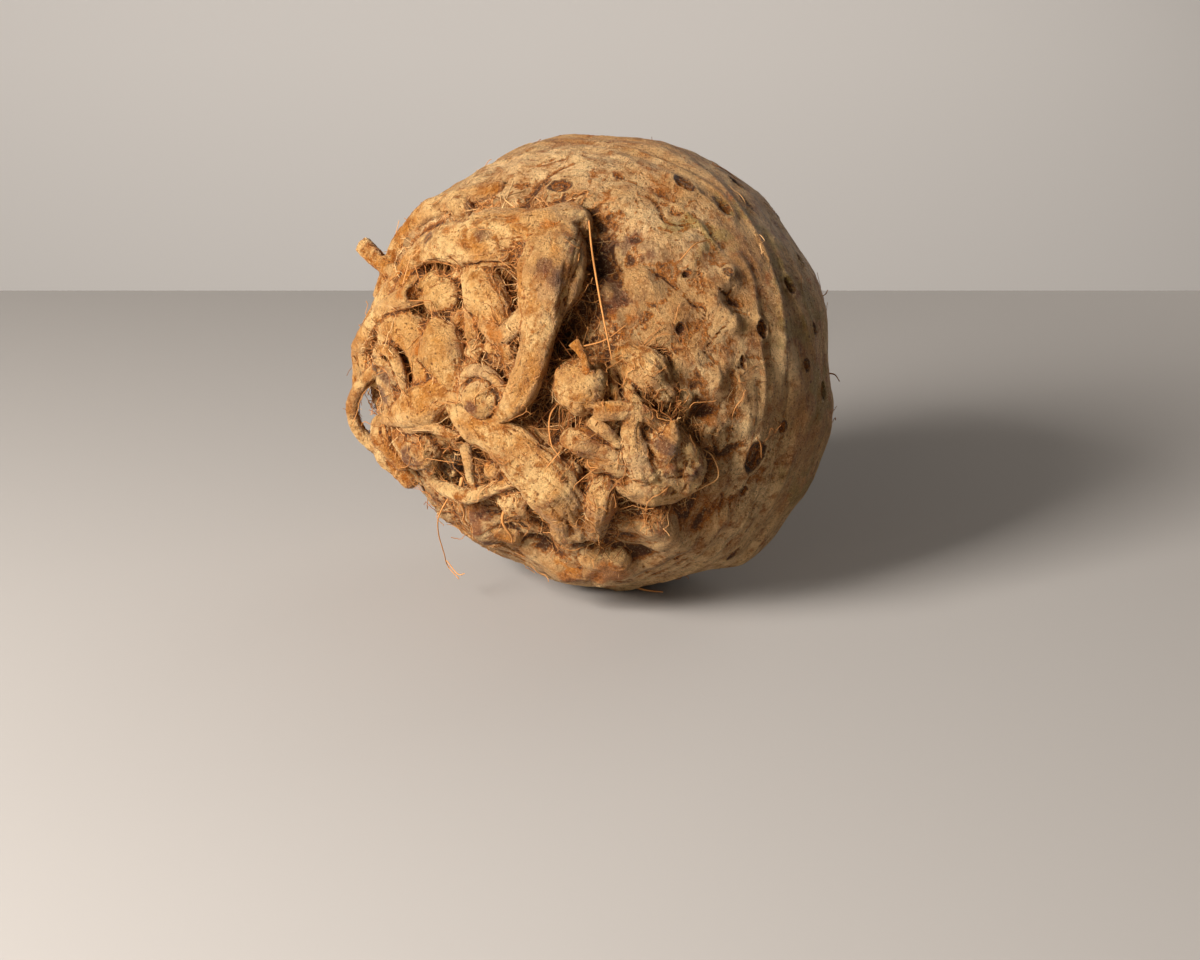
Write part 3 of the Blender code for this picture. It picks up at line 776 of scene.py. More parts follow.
def stain_masks(piece, east, north, lift):
    """One mask for each kind of stain, with ragged edges. The black patches stay low, down on the skin."""
    ragged = layered_noise(points_of(piece), 6.0, 3, 61)
    for name, spots in STAINS.items():
        near = sum(
            np.exp(-((east - spot_east) ** 2 + (north - spot_north) ** 2) / spread ** 2)
            for spot_east, spot_north, spread in spots
        )
        if name == "black":
            near = near * (1 - step_between(3.5, 6.5, lift))
        keep_mask(piece, name, np.clip(1.4 * near * (0.4 + 1.5 * ragged), 0, 1))


skin_points, skin_normals = points_of(bulb_skin), normals_of(bulb_skin)
skin_shut = shut_in(skin_points, skin_normals, beads)
skin_hollow = hollows(bulb_skin, 4) / 0.10 + hollows(bulb_skin, 24) / 0.40 + hollows(bulb_skin, 90) / 0.9
soil_patches = layered_noise(skin_points, 7, 3, 31)
# Soil and painted shade: real soil lies over the root end, the belt and the crown, and places shut in among
# the roots or sunk in hollows are darkened as if shaded.
skin_soil_and_shade = np.clip(
    1.2 * skin_shut + root_end * (0.22 + 0.35 * soil_patches)
    + rough_belt * (0.10 + 0.30 * soil_patches)
    + (0.10 + 0.22 * rough_belt + 0.15 * root_end) * skin_hollow
    + 0.35 * crownward * (0.5 + soil_patches), 0, 1)
keep_mask(bulb_skin, "soil_and_shade", skin_soil_and_shade)
keep_mask(bulb_skin, "scar", scar_dark)
keep_mask(bulb_skin, "peel", peeling)
hair_patches = step_between(-0.1, 0.5, layered_noise(skin_points, 9, 2, 32))
bare_patch = np.exp(-((skin_east - 28) ** 2 + (skin_north - 34) ** 2) / 11 ** 2)
low = 1 - step_between(-36, -14, skin_north)
keep_mask(bulb_skin, "hairy", np.clip(
    0.9 * step_between(0.25, 0.7, skin_shut)
    + root_end * low * hair_patches * step_between(-1.5, 0.8, skin_hollow)
    + 0.25 * rough_belt * hair_patches * step_between(0.25, 0.55, skin_soil_and_shade) - 0.9 * bare_patch, 0, 1)
    * (1 - crownward) + 0.003)
stain_masks(bulb_skin, skin_east, skin_north, skin_height)


# The look of dry vegetable skin is shared: mottled colour, soil and painted shade in the hollows, small
# rust spots.
def feed(tree, socket, value):
    """Sets an input to a value, or joins it to the socket that gives one."""
    if isinstance(value, bpy.types.NodeSocket):
        tree.links.new(value, socket)
    else:
        socket.default_value = value


def put(tree, kind, settings=None, **named):
    """Adds a node. Inputs go by name, or by place as i0, i1 and so on."""
    made = tree.nodes.new(kind)
    for key, value in (settings or {}).items():
        setattr(made, key, value)
    for key, value in named.items():
        by_place = key[0] == "i" and key[1:].isdigit()
        feed(tree, made.inputs[int(key[1:]) if by_place else key.replace("_", " ")], value)
    return made


def rgb(red, green, blue):
    """A colour given as it looks on screen, 0 to 255, turned into linear light."""
    return tuple(
        (c / 255 / 12.92 if c <= 10 else ((c / 255 + 0.055) / 1.055) ** 2.4) for c in (red, green, blue)
    ) + (1.0,)


def mixed(tree, share, first, second):
    """The first colour where the share is 0, the second where it is 1."""
    made = tree.nodes.new("ShaderNodeMix")
    made.data_type = "RGBA"
    for index, value in ((0, share), (6, first), (7, second)):
        feed(tree, made.inputs[index], value)
    return made.outputs[2]


def math_of(tree, operation, first, second):
    made = tree.nodes.new("ShaderNodeMath")
    made.operation = operation
    for index, value in ((0, first), (1, second)):
        feed(tree, made.inputs[index], value)
    return made.outputs[0]


def times(tree, first, second):
    return math_of(tree, "MULTIPLY", first, second)


def between(tree, value, low, high, out_low=0.0, out_high=1.0):
    """The value spread smoothly from one range to another."""
    return put(tree, "ShaderNodeMapRange", {"interpolation_type": "SMOOTHSTEP"}, Value=value,
               From_Min=low, From_Max=high, To_Min=out_low, To_Max=out_high).outputs[0]


def noise_of(tree, place, scale, detail=4.0, roughness=0.6):
    return put(tree, "ShaderNodeTexNoise", None, Vector=place, Scale=scale, Detail=detail,
               Roughness=roughness).outputs[0]


def new_group(name, inputs, outputs):
    group = bpy.data.node_groups.new(name, "ShaderNodeTree")
    for label, kind in inputs:
        group.interface.new_socket(name=label, in_out="INPUT", socket_type=kind)
    for label, kind in outputs:
        group.interface.new_socket(name=label, in_out="OUTPUT", socket_type=kind)
    return group, group.nodes.new("NodeGroupInput").outputs, group.nodes.new("NodeGroupOutput").inputs


EARTH_MASKS = ("Soil_and_shade", "Purple", "Olive", "Rust", "Dust", "Black")


def make_earth_group():
    """Stains, freckles, soil and painted shade over a skin, from its clean colour and its masks."""
    group, given, result = new_group(
        "earth_on_skin",
        [("Place", "NodeSocketVector"), ("Clean", "NodeSocketColor")]
        + [(mask, "NodeSocketFloat") for mask in EARTH_MASKS],
        (("Colour", "NodeSocketColor"), ("Height", "NodeSocketFloat"), ("Cover", "NodeSocketFloat")),
    )
    place, colour, soil_and_shade = given["Place"], given["Clean"], given["Soil_and_shade"]
    fine = noise_of(group, place, 900.0, 5.0, 0.7)
    grain = noise_of(group, place, 2600.0, 3.0, 0.7)
    coarse = noise_of(group, place, 330.0, 4.0, 0.65)

    def stained(colour, label, tint, strength):
        ragged = math_of(group, "ADD", given[label], math_of(group, "SUBTRACT", coarse, 0.5))
        share = times(group, between(group, ragged, 0.15, 0.75), strength)
        return mixed(group, share, colour, tint)

    colour = stained(colour, "Dust", rgb(196, 156, 114), 0.45)
    colour = stained(colour, "Olive", rgb(156, 130, 66), 0.6)
    colour = stained(colour, "Rust", rgb(190, 104, 30), 0.65)
    freckles = put(group, "ShaderNodeTexVoronoi", None, Vector=place, Scale=420.0, Randomness=1.0)
    freckle = between(group, freckles.outputs["Distance"], 0.20, 0.09)
    chosen = between(group, noise_of(group, place, 200.0, 2.0), 0.50, 0.62)
    colour = mixed(group, times(group, times(group, freckle, chosen), 0.8),
                   colour, rgb(92, 50, 22))
    rust = between(group, noise_of(group, place, 140.0, 4.0, 0.7), 0.60, 0.70)
    colour = mixed(group, times(group, rust, 0.6), colour, rgb(184, 102, 38))
    # Soil and painted shade: the mask covers shut-in hollows with a brown film, and the deepest go
    # near-black brown as if in shadow.
    ragged = math_of(group, "ADD", soil_and_shade, times(group, math_of(group, "SUBTRACT", fine, 0.5), 1.1))
    film = between(group, ragged, 0.12, 0.56)
    deep_soil_and_shade = between(group, ragged, 0.52, 0.95)
    brown = mixed(group, between(group, grain, 0.35, 0.65), rgb(126, 62, 18), rgb(206, 124, 52))
    colour = mixed(group, times(group, film, 0.82), colour, brown)
    colour = stained(colour, "Purple", rgb(104, 62, 44), 0.75)
    colour = stained(colour, "Black", rgb(44, 25, 13), 0.8)
    colour = mixed(group, times(group, deep_soil_and_shade, 0.85), colour, rgb(60, 32, 14))
    sugar = noise_of(group, place, 1600.0, 4.0, 0.85)
    colour = mixed(group, between(group, sugar, 0.55, 0.66, 0.0, 0.62), colour, rgb(246, 210, 156))
    colour = mixed(group, between(group, sugar, 0.46, 0.35, 0.0, 0.85), colour, rgb(82, 40, 14))
    rich = put(group, "ShaderNodeHueSaturation", None, Saturation=1.05, Color=colour).outputs[0]
    group.links.new(rich, result["Colour"])
    group.links.new(math_of(group, "ADD", times(group, sugar, 1.4),
                            times(group, film, fine)), result["Height"])
    group.links.new(film, result["Cover"])
    return group


earth = make_earth_group()


def add_earth(tree, place, clean):
    """The shared group, fed with the piece's own masks."""
    covered = tree.nodes.new("ShaderNodeGroup")
    covered.node_tree = earth
    tree.links.new(place, covered.inputs["Place"])
    tree.links.new(clean, covered.inputs["Clean"])
    for label in EARTH_MASKS:
        tree.links.new(mask_of(tree, label.lower()), covered.inputs[label])
    return covered.outputs


SKIN_BUMP = 0.0013


def start_material(name, roughness, specular=0.35):
    material = bpy.data.materials.new(name)
    material.use_nodes = True
    tree = material.node_tree
    shader = tree.nodes["Principled BSDF"]
    shader.inputs["Roughness"].default_value = roughness
    shader.inputs["Specular IOR Level"].default_value = specular
    place = tree.nodes.new("ShaderNodeTexCoord").outputs["Object"]
    return material, tree, shader, place


def mask_of(tree, name):
    """One of the values kept on the piece's points."""
    return put(tree, "ShaderNodeAttribute", {"attribute_name": name}).outputs["Fac"]


def finish_surface(tree, shader, colour, height, roughness, depth):
    """Joins a colour, a roughness and a relief of the given depth in metres to the shader."""
    tree.links.new(colour, shader.inputs["Base Color"])
    tree.links.new(roughness, shader.inputs["Roughness"])
    bump = put(tree, "ShaderNodeBump", None, Strength=1.0, Distance=depth, Height=height)
    tree.links.new(bump.outputs[0], shader.inputs["Normal"])


def make_rind_material():
    material, tree, shader, place = start_material("rind", 0.72)
    turned = put(tree, "ShaderNodeVectorRotate", {"rotation_type": "EULER_XYZ"}, Vector=place,
                 Center=tuple(BULB_CENTRE * MM)).outputs[0]
    turned.node.inputs["Rotation"].default_value = Vector(OUTWARD).rotation_difference(
        Vector((0, 0, 1))).to_euler()
    ringwise = put(tree, "ShaderNodeMapping", None, Vector=turned, Scale=(0.12, 0.12, 1.0)).outputs[0]
    broad = noise_of(tree, place, 45.0, 4.0, 0.6)
    mottle = noise_of(tree, place, 300.0, 5.0, 0.7)
    streaks = noise_of(tree, ringwise, 620.0, 4.0, 0.65)
    clean = mixed(tree, between(tree, broad, 0.35, 0.65), rgb(192, 138, 82), rgb(240, 200, 146))
    clean = mixed(tree, between(tree, mottle, 0.42, 0.66), clean, rgb(166, 104, 50))
    clean = mixed(tree, times(tree, between(tree, streaks, 0.48, 0.68), 0.6), clean,
                  rgb(116, 78, 44))
    clean = mixed(tree, times(tree, mask_of(tree, "peel"), 0.25), clean, rgb(222, 182, 126))
    scar = mask_of(tree, "scar")
    pores = noise_of(tree, place, 1500.0, 3.0, 0.7)
    scar_colour = mixed(tree, between(tree, pores, 0.38, 0.62), rgb(84, 50, 26), rgb(156, 108, 64))
    clean = mixed(tree, between(tree, scar, 0.25, 0.55), clean, scar_colour)
    clean = mixed(tree, times(tree, between(tree, scar, 0.6, 0.95), 0.9), clean,
                  rgb(54, 30, 16))
    covered = add_earth(tree, place, clean)
    height = math_of(tree, "ADD", times(tree, streaks, 0.8), math_of(
        tree, "ADD", times(tree, mottle, 0.8), covered["Height"]))
    roughness = between(tree, covered["Cover"], 0.0, 1.0, 0.60, 0.9)
    finish_surface(tree, shader, covered["Colour"], height, roughness, SKIN_BUMP)
    return material


def settle(piece, material=None):
    """Gives the piece its finish, if it has none yet, and fixes it to the root."""
    if material:
        piece.data.materials.append(material)
    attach(piece, "root")
    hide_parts("celeriac_root")


rind = make_rind_material()
settle(bulb_skin, rind)


# ------------------------------------------------------------
# The roots' own skin. It is the same corky rind, wrinkled lengthwise as it dried, with creases
# across the bends, paler on the knobs clear of the soil, and painted with shade in the gaps.
# ------------------------------------------------------------
def weather(piece, first, last):
    """Wrinkles the fused roots numbered first to last, and marks where soil, painted shade and hair roots
    lie.
    """
    numbers = beads[:, OWNER]
    nearest = wrinkle(piece, beads[(numbers >= first) & (numbers < last)])
    points, normals = points_of(piece), normals_of(piece)
    outward = points - BULB_CENTRE
    distance = np.linalg.norm(outward, axis=1)
    outward /= distance[:, None]
    lift = distance - plain_radius(outward)
    facing_in = np.clip(0.40 - 0.60 * np.einsum("ij,ij->i", normals, outward), 0, 1)
    shut = shut_in(points, normals, beads, nearest[:, OWNER])
    hollow = hollows(piece, 6) / 0.15 + hollows(piece, 36) / 0.9
    clean = 1 - nearest[:, ROUGH]
    # Soil and painted shade: places shut in between roots, undersides facing the bulb and hollows are
    # darkened as if shaded, and noise adds uneven real soil.
    soil_and_shade = np.clip(
        0.75 * shut + 1.1 * facing_in * np.exp(-np.maximum(lift - 4, 0) / 9)
        + 0.42 * hollow + 0.30 * layered_noise(points, 7, 3, 46) - 0.04 - 0.08 * clean, 0, 1)
    keep_mask(piece, "bare", clean)
    keep_mask(piece, "soil_and_shade", soil_and_shade)
    keep_mask(piece, "hairy", np.clip(step_between(0.58, 1.0, soil_and_shade) + 0.008, 0, 1))
    stain_masks(piece, *map_of(outward), lift)


weather(upper_roots, 0, len(upper_rods))
weather(lower_roots, len(upper_rods), len(upper_rods) + len(lower_rods))


def make_root_material():
    material, tree, shader, place = start_material("root_skin", 0.7)
    broad = noise_of(tree, place, 85.0, 4.0, 0.6)
    mottle = noise_of(tree, place, 380.0, 5.0, 0.7)
    bruise = noise_of(tree, place, 70.0, 4.0, 0.6)
    clean = mixed(tree, between(tree, broad, 0.38, 0.62), rgb(198, 130, 64), rgb(246, 202, 140))
    clean = mixed(tree, between(tree, mottle, 0.43, 0.64), clean, rgb(162, 94, 38))
    clean = mixed(tree, times(tree, between(tree, bruise, 0.52, 0.64), 0.5), clean,
                  rgb(164, 108, 64))
    clean = mixed(tree, times(tree, mask_of(tree, "peel"), 0.30), clean, rgb(230, 190, 134))
    clean = mixed(tree, times(tree, mask_of(tree, "bare"), 0.5), clean, rgb(234, 182, 110))
    covered = add_earth(tree, place, clean)
    height = math_of(tree, "ADD", mottle, covered["Height"])
    roughness = between(tree, covered["Cover"], 0.0, 1.0, 0.50, 0.9)
    finish_surface(tree, shader, covered["Colour"], height, roughness, SKIN_BUMP)
    return material


root_skin = make_root_material()
settle(upper_roots, root_skin)
settle(lower_roots, root_skin)


# ------------------------------------------------------------
# The crown. The leaf stalks were cut off short at the leaf end, round a leaf bud. The stumps are
# crescents in section, as celery stalks are. Their heights are measured from the plain bulb.
# ------------------------------------------------------------
# Turn round the crown in degrees, distance, height, radius.
STALKS = (
    (20, 6, 8.5, 3.2),
    (95, 6.5, 7.0, 3.6),
    (165, 6, 9.0, 3.0),
    (235, 6.5, 7.5, 3.4),
    (305, 6, 8.0, 3.2),
    (55, 13, 6.5, 4.0),
    (130, 13.5, 5.0, 4.4),
    (200, 14, 6.0, 3.6),
    (270, 13, 4.5, 4.4),
    (345, 14, 5.5, 3.9),
)
BUD_HEIGHT = 9.5


def stalk_path(turn, distance, height, radius):
    """A straight stump, leaning out a little from the crown's middle."""
    angle = math.radians(turn)
    sideways = (EAST * math.sin(angle) + NORTH * math.cos(angle)) * distance
    foot = BULB_CENTRE + sideways - OUTWARD * CROWN_END_RADIUS * 0.85
    top = BULB_CENTRE + sideways * 1.15 - OUTWARD * (CROWN_END_RADIUS + height)
    return np.array([[*foot, radius * 1.15], [*((foot + top) / 2), radius * 1.05], [*top, radius]])


stalks = [grow_rod(stalk_path(*stalk), tip="cut", flat=0.5, curl=-0.55) for stalk in STALKS]
bud_foot = BULB_CENTRE - OUTWARD * CROWN_END_RADIUS * 0.9
bud_top = BULB_CENTRE - OUTWARD * (CROWN_END_RADIUS + BUD_HEIGHT)
bud_middle = (bud_foot + bud_top) / 2
stalks.append(grow_rod(np.array([[*bud_foot, 3.4], [*bud_middle, 3.0], [*bud_top, 1.6]])))
stalk_beads = beads_of(stalks)
leaf_stumps = fuse_rods("leaf_stumps", stalks)
stump_bead = wrinkle(leaf_stumps, stalk_beads)
stump_points = points_of(leaf_stumps)
stump_up = -(stump_points - BULB_CENTRE) @ OUTWARD - CROWN_END_RADIUS
stump_shut = shut_in(stump_points, normals_of(leaf_stumps), stalk_beads, stump_bead[:, OWNER])
# Soil and painted shade: places shut in between the stumps darken as if shaded, and the feet and the very
# tops darken too.
keep_mask(leaf_stumps, "soil_and_shade", np.clip(
    0.8 * stump_shut + 0.5 * (1 - step_between(0, 6, stump_up))
    + 0.3 * layered_noise(stump_points, 4, 3, 71) + 0.12 * step_between(3, 8, stump_up), 0, 1))
stump_outward = stump_points - BULB_CENTRE
stump_outward /= np.linalg.norm(stump_outward, axis=1)[:, None]
stain_masks(leaf_stumps, *map_of(stump_outward), stump_up)
settle(leaf_stumps, root_skin)


# ------------------------------------------------------------
# The hair roots. Fine brown rootlets mat the gaps between the thick roots and the skin round
# them, and single ones stick out. They grow from the skin and bend along it.
# ------------------------------------------------------------
def new_growth_tree(name, inputs):
    """An empty Geometry Nodes tree that takes a surface and named sizes and gives a geometry."""
    tree = bpy.data.node_groups.new(name, "GeometryNodeTree")
    tree.interface.new_socket(name="Surface", in_out="INPUT", socket_type="NodeSocketGeometry")
    for label, kind in inputs:
        tree.interface.new_socket(name=label, in_out="INPUT", socket_type=kind)
    tree.interface.new_socket(name="Grown", in_out="OUTPUT", socket_type="NodeSocketGeometry")
    return tree, tree.nodes.new("NodeGroupInput").outputs, tree.nodes.new("NodeGroupOutput").inputs


def vector_math(tree, operation, first, second=None, scale=None):
    made = tree.nodes.new("ShaderNodeVectorMath")
    made.operation = operation
    for index, value in ((0, first), (1, second), (3, scale)):
        if value is not None:
            feed(tree, made.inputs[index], value)
    return made.outputs[0]


def scattered_points(tree, given, mask):
    """Points over the surface, thick where the mask is strong, and a random share for each."""
    thick = put(tree, "GeometryNodeInputNamedAttribute", {"data_type": "FLOAT"}, Name=mask).outputs[0]
    spread = put(tree, "GeometryNodeDistributePointsOnFaces", None, Mesh=given["Surface"],
                 Density=times(tree, thick, given["Density"]), Seed=given["Seed"])
    shade = put(tree, "FunctionNodeRandomValue", {"data_type": "FLOAT"}, Seed=given["Seed"])
    marked = put(tree, "GeometryNodeStoreNamedAttribute", {"data_type": "FLOAT", "domain": "POINT"},
                 Geometry=spread.outputs["Points"], Name="shade", Value=shade.outputs[1])
    return marked.outputs[0], spread.outputs["Normal"]


def make_hair_tree():
    """Thin tapering tubes that start on the surface, curl, and are drawn back towards it."""
    tree, given, result = new_growth_tree("hair_roots", (
        ("Density", "NodeSocketFloat"), ("Length", "NodeSocketFloat"), ("Thickness", "NodeSocketFloat"),
        ("Rise", "NodeSocketFloat"), ("Curl", "NodeSocketFloat"), ("Cling", "NodeSocketFloat"),
        ("Steps", "NodeSocketInt"), ("Seed", "NodeSocketInt"), ("Finish", "NodeSocketMaterial"),
    ))
    points, normal = scattered_points(tree, given, "hairy")
    aside = put(tree, "FunctionNodeRandomValue", {"data_type": "FLOAT_VECTOR"}, i0=(-1.0, -1.0, -1.0),
                i1=(1.0, 1.0, 1.0), Seed=given["Seed"]).outputs[0]
    along = vector_math(tree, "NORMALIZE", vector_math(tree, "CROSS_PRODUCT", normal, aside))
    rise = vector_math(tree, "SCALE", normal, scale=given["Rise"])
    heading = put(tree, "FunctionNodeAlignRotationToVector", {"axis": "Z"},
                  Vector=vector_math(tree, "ADD", along, rise)).outputs[0]
    straight = put(tree, "GeometryNodeCurvePrimitiveLine", {"mode": "POINTS"}, End=(0.0, 0.0, 1.0))
    stepped = put(tree, "GeometryNodeResampleCurve", None, Curve=straight.outputs[0], Count=given["Steps"])
    spread = put(tree, "FunctionNodeRandomValue", {"data_type": "FLOAT"}, i2=0.45, i3=1.3,
                 Seed=math_of(tree, "ADD", given["Seed"], 1.0)).outputs[1]
    long = put(tree, "ShaderNodeCombineXYZ", None, X=1.0, Y=1.0,
               Z=times(tree, given["Length"], spread)).outputs[0]
    strewn = put(tree, "GeometryNodeInstanceOnPoints", None, Points=points, Instance=stepped.outputs[0],
                 Rotation=heading, Scale=long)
    hairs = put(tree, "GeometryNodeRealizeInstances", None, Geometry=strewn.outputs[0]).outputs[0]
    position = tree.nodes.new("GeometryNodeInputPosition").outputs[0]
    share = tree.nodes.new("GeometryNodeSplineParameter").outputs["Factor"]
    shade = put(tree, "GeometryNodeInputNamedAttribute", {"data_type": "FLOAT"}, Name="shade").outputs[0]
    curls = put(tree, "ShaderNodeTexNoise", {"noise_dimensions": "4D"}, Vector=position,
                W=times(tree, shade, 9.0), Scale=210.0, Detail=1.0).outputs[1]
    bend = vector_math(tree, "SCALE", vector_math(tree, "SUBTRACT", curls, (0.5, 0.5, 0.5)),
                       scale=times(tree, given["Curl"], share))
    curled = put(tree, "GeometryNodeSetPosition", None, Geometry=hairs, Offset=bend).outputs[0]
    nearest = put(tree, "GeometryNodeProximity", {"target_element": "FACES"}, i0=given["Surface"])
    facing = put(tree, "GeometryNodeSampleNearestSurface", {"data_type": "FLOAT_VECTOR"},
                 Mesh=given["Surface"], i3=tree.nodes.new("GeometryNodeInputNormal").outputs[0])
    back = vector_math(tree, "SUBTRACT", nearest.outputs[0], position)
    drawn = vector_math(tree, "SCALE", back, scale=given["Cling"])
    clear = vector_math(tree, "SCALE", facing.outputs[0], scale=given["Thickness"])
    laid = put(tree, "GeometryNodeSetPosition", None, Geometry=curled,
               Offset=vector_math(tree, "ADD", drawn, clear)).outputs[0]
    tapered = put(tree, "GeometryNodeSetCurveRadius", None, Curve=laid, Radius=math_of(
        tree, "SUBTRACT", 1.0, times(tree, share, 0.6))).outputs[0]
    section = put(tree, "GeometryNodeCurvePrimitiveCircle", None, Resolution=3,
                  Radius=given["Thickness"]).outputs[0]
    tubes = put(tree, "GeometryNodeCurveToMesh", None, Curve=tapered, Profile_Curve=section,
                Fill_Caps=True).outputs[0]
    whole = put(tree, "GeometryNodeRealizeInstances", None, Geometry=tubes).outputs[0]
    finished = put(tree, "GeometryNodeSetMaterial", None, Geometry=whole, Material=given["Finish"])
    tree.links.new(finished.outputs[0], result["Grown"])
    return tree


def grow_over(surface, name, tree, **settings):
    """Runs a growth tree over a surface and keeps only what grew, as a plain mesh."""
    carrier = bpy.data.objects.new(f"{name}_carrier", surface.data)
    bpy.context.collection.objects.link(carrier)
    growth = carrier.modifiers.new("growth", "NODES")
    growth.node_group = tree
    for socket in tree.interface.items_tree:
        if socket.in_out == "INPUT" and socket.name in settings:
            growth[socket.identifier] = settings[socket.name]
    grown = made_plain(carrier, name)
    move_points(grown, points_of(grown))
    return grown


def make_fibre_material(name, colours):
    """Dull dry fibre, a different brown for each strand."""
    material, tree, shader, place = start_material(name, 0.8, 0.2)
    speck = noise_of(tree, place, 700.0, 3.0)
    pick = math_of(tree, "ADD", times(tree, mask_of(tree, "shade"), 0.75),
                   times(tree, speck, 0.25))
    colour = mixed(tree, between(tree, pick, 0.15, 0.55), colours[0], colours[1])
    colour = mixed(tree, between(tree, pick, 0.68, 0.98), colour, colours[2])
    finish_surface(tree, shader, colour, speck, between(tree, speck, 0.3, 0.7, 0.7, 0.9), 0.0001)
    return material


hair_tree = make_hair_tree()
hair_finish = make_fibre_material("hair_root", (rgb(122, 68, 26), rgb(180, 122, 66), rgb(220, 184, 130)))
# Felt is the short mat of hair roots, wisps are the longer single ones.
felt = dict(Length=0.0036, Thickness=0.00007, Rise=0.35, Curl=0.006, Cling=0.6, Steps=5, Finish=hair_finish)
wisps = dict(Length=0.009, Thickness=0.0001, Rise=0.45, Curl=0.014, Cling=0.7, Steps=13, Finish=hair_finish)
# What they grow on, the piece's name, the kind, how many to a square metre, and the seed.
for surface, name, settings, density, seed in (
    (bulb_skin, "felt_on_skin", felt, 1200000.0, 3),
    (upper_roots, "felt_on_upper_roots", felt, 1500000.0, 4),
    (lower_roots, "felt_on_lower_roots", felt, 1500000.0, 5),
    (bulb_skin, "wisps_on_skin", wisps, 260000.0, 7),
    (upper_roots, "wisps_on_upper_roots", wisps, 220000.0, 8),
    (lower_roots, "wisps_on_lower_roots", wisps, 220000.0, 9),
):
    hairs = grow_over(surface, name, hair_tree, Density=density, Seed=seed, **settings)
    settle(hairs)


# ------------------------------------------------------------
# Long fibres. A few loose strands and rootlets stand out: a dry straw down the right of the
# tangle, a bent bristle, a rootlet that hangs off the lower left, and some off the far side.
# Each has a paleness, then east, north, lift and radius from its base to its tip.
# ------------------------------------------------------------
FIBRES = (
    (0.72, ((18, 43, 3.5, 0.22), (22, 34, 5.2, 0.24), (27, 22, 6.2, 0.22), (31, 11, 5.6, 0.16))),
    (0.85, ((52, -11, 1.0, 0.14), (55, -13, 3.0, 0.18), (55.5, -18, 5.0, 0.18), (52, -21, 4.5, 0.18),
            (47, -26, 2.0, 0.14))),
    (0.75, ((-15, -31, 3, 0.18), (-17, -35, 6.2, 0.16), (-20, -41, 6.8, 0.14), (-21, -47, 8, 0.13),
            (-23, -52, 9, 0.12), (-19, -54, 10, 0.10))),
    (0.8, ((-22, -50, 8.5, 0.14), (-18, -52, 9.5, 0.14), (-15, -51, 9.0, 0.12))),
    (0.95, ((-9, 52, 2.6, 0.14), (-2, 42, 8.4, 0.16), (-1, 39, 9.4, 0.16), (1, 35, 9.5, 0.13))),
    (0.9, ((-4, 50, 2.0, 0.13), (-3, 43, 8.0, 0.14), (2, 40, 9.6, 0.12))),
    (0.5, ((22, 2, 3, 0.2), (18.5, -3, 5.0, 0.2), (19, -9, 6.5, 0.16), (21, -12, 7, 0.12))),
    (0.5, ((20, 12, 2, 0.2), (24, 13, 5, 0.2), (29, 15, 5.5, 0.16), (33, 19, 4, 0.12))),
    (0.8, ((-8, -24, 3, 0.5), (-8.5, -28, 4.8, 0.42), (-9, -33, 4.2, 0.3), (-12, -37, 3.4, 0.18))),
    (0.7, ((6, -26, 3, 0.42), (4, -31, 5.6, 0.36), (5, -36, 5.4, 0.26), (3, -40, 4, 0.16))),
    (0.7, ((48, 45, 2.0, 0.16), (44, 41, 4.0, 0.16), (42, 37, 3.0, 0.12))),
    (0.3, ((108, 4, 0.5, 0.22), (109, 3, 2.4, 0.16), (106, 1, 3.4, 0.1))),
    (0.5, ((104, 45, 0.5, 0.14), (105, 46, 3.0, 0.12), (106, 49, 4.5, 0.12))),
    (0.6, ((22, -80, 0.5, 0.26), (26, -80, 1.6, 0.22), (31, -79, 2.6, 0.16))),
    (0.7, ((70, -18, 0.4, 0.14), (68, -12, 2.2, 0.14), (66, -9, 3.2, 0.12))),
)
FIBRE_SPACING = 0.5

strands = [grow_rod(over_skin(path), spacing=FIBRE_SPACING) for shade, path in FIBRES]
long_fibres = join_rods("long_fibres", strands)
keep_mask(long_fibres, "shade", np.concatenate([
    np.full(len(strand[0]), shade) for strand, (shade, path) in zip(strands, FIBRES)
]))
long_fibres.data.materials.append(hair_finish)
settle(long_fibres)


# ------------------------------------------------------------
# Soil crumbs. Dry soil clings in the gaps between the roots as uneven crumbs up to 0.8 mm
# across. They lie where the hair roots are thick.
# ------------------------------------------------------------
def make_crumb_tree():
    """Small uneven crumbs strewn over the surface."""
    tree, given, result = new_growth_tree("soil_crumbs", (
        ("Density", "NodeSocketFloat"), ("Size", "NodeSocketFloat"), ("Seed", "NodeSocketInt"),
        ("Finish", "NodeSocketMaterial"),
    ))
    points, _ = scattered_points(tree, given, "hairy")
    crumb = put(tree, "GeometryNodeMeshIcoSphere", None, Radius=given["Size"], Subdivisions=1).outputs[0]
    turn = put(tree, "FunctionNodeRandomValue", {"data_type": "FLOAT_VECTOR"}, i1=(6.3, 6.3, 6.3),
               Seed=given["Seed"]).outputs[0]
    size = put(tree, "FunctionNodeRandomValue", {"data_type": "FLOAT_VECTOR"}, i0=(0.4, 0.4, 0.3),
               i1=(1.5, 1.4, 1.0), Seed=math_of(tree, "ADD", given["Seed"], 1.0)).outputs[0]
    strewn = put(tree, "GeometryNodeInstanceOnPoints", None, Points=points, Instance=crumb,
                 Rotation=put(tree, "FunctionNodeEulerToRotation", None, i0=turn).outputs[0], Scale=size)
    whole = put(tree, "GeometryNodeRealizeInstances", None, Geometry=strewn.outputs[0]).outputs[0]
    finished = put(tree, "GeometryNodeSetMaterial", None, Geometry=whole, Material=given["Finish"])
    tree.links.new(finished.outputs[0], result["Grown"])
    return tree


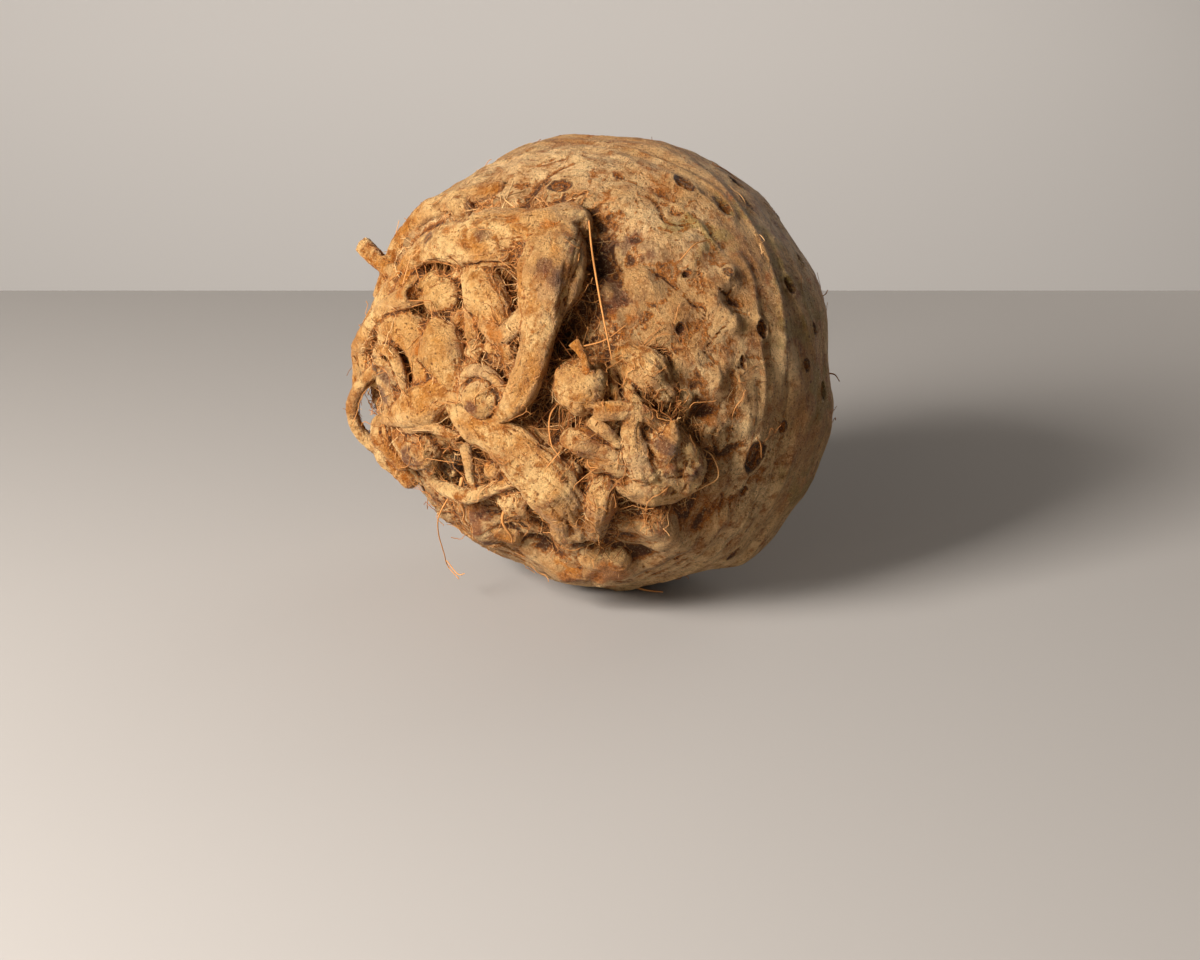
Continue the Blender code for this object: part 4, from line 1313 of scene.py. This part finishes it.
CRUMB_SIZE = 0.00026
crumb_tree = make_crumb_tree()
crumb_finish = make_fibre_material("soil_crumb", (rgb(58, 32, 14), rgb(124, 74, 34), rgb(188, 128, 70)))
for surface, name, density, seed in (
    (bulb_skin, "crumbs_on_skin", 800000.0, 13),
    (upper_roots, "crumbs_on_upper_roots", 500000.0, 14),
    (lower_roots, "crumbs_on_lower_roots", 500000.0, 15),
):
    crumbs = grow_over(surface, name, crumb_tree, Density=density, Size=CRUMB_SIZE, Seed=seed,
                       Finish=crumb_finish)
    settle(crumbs)


# ------------------------------------------------------------
# The table and the light. The floor and the backdrop are plain and pale. A soft lamp hangs up on
# the left, with a weak fill low on the left and another behind on the right. The table ends and
# the backdrop stands far enough behind the root to leave a view of its back.
# ------------------------------------------------------------
CAMERA_RISE = math.radians(18.0)
CAMERA_DISTANCE = 572.0
AIM_RIGHT = 1.2
AIM_DOWN = 28.9
TABLE_EDGE = 0.31
WALL_DISTANCE = 0.95
SHEET_ROUGHNESS = 0.85


def plain_finish(name, colour):
    material = bpy.data.materials.new(name)
    material.use_nodes = True
    shader = material.node_tree.nodes["Principled BSDF"]
    shader.inputs["Base Color"].default_value = colour
    shader.inputs["Roughness"].default_value = SHEET_ROUGHNESS
    return material


def make_sheet(name, corners, colour):
    mesh = bpy.data.meshes.new(name)
    mesh.from_pydata(corners, [], [(0, 1, 2, 3)])
    mesh.materials.append(plain_finish(name, colour))
    sheet = bpy.data.objects.new(name, mesh)
    bpy.context.collection.objects.link(sheet)


make_sheet("floor", [
    (-3, -2, 0), (3, -2, 0), (3, TABLE_EDGE, 0), (-3, TABLE_EDGE, 0),
], rgb(154, 149, 144))
make_sheet("backdrop", [
    (-3, WALL_DISTANCE, -1), (3, WALL_DISTANCE, -1), (3, WALL_DISTANCE, 2), (-3, WALL_DISTANCE, 2),
], rgb(228, 223, 218))


def add_lamp(name, place, aim, size, power, colour):
    """A square lamp, with its place, aim and width in metres."""
    lamp = bpy.data.lights.new(name, "AREA")
    lamp.shape = "SQUARE"
    lamp.size = size
    lamp.energy = power
    lamp.color = colour
    holder = bpy.data.objects.new(name, lamp)
    holder.location = place
    holder.rotation_euler = (Vector(aim) - Vector(place)).to_track_quat("-Z", "Y").to_euler()
    bpy.context.collection.objects.link(holder)


add_lamp("key", (-0.54, -0.48, 0.43), (0, 0, 0.05), 0.3, 17.8, (1.0, 0.96, 0.92))
add_lamp("low_fill", (-0.42, -0.80, 0.12), (0, 0, 0.04), 0.5, 2.7, (1.0, 0.92, 0.82))
add_lamp("back", (0.52, 0.60, 0.42), (0, 0, 0.05), 0.5, 1.9, (1.0, 0.95, 0.90))
world = bpy.data.worlds.new("room")
world.use_nodes = True
world.node_tree.nodes["Background"].inputs["Color"].default_value = (1.0, 0.93, 0.84, 1.0)
world.node_tree.nodes["Background"].inputs["Strength"].default_value = 0.06
bpy.context.scene.world = world
bpy.context.scene.view_settings.view_transform = "Standard"

right = np.array([1.0, 0.0, 0.0])
upward = np.array([0.0, math.sin(CAMERA_RISE), math.cos(CAMERA_RISE)])
toward = np.array([0.0, -math.cos(CAMERA_RISE), math.sin(CAMERA_RISE)])
eye = BULB_CENTRE - AIM_RIGHT * right - AIM_DOWN * upward + CAMERA_DISTANCE * toward
camera = bpy.data.cameras.new("camera")
camera.lens = 70.0
camera.sensor_width = 36.0
camera.clip_start = 0.01
holder = bpy.data.objects.new("camera", camera)
holder.location = tuple(eye * MM)
holder.rotation_euler = (math.pi / 2 - CAMERA_RISE, 0, 0)
bpy.context.collection.objects.link(holder)
bpy.context.scene.camera = holder
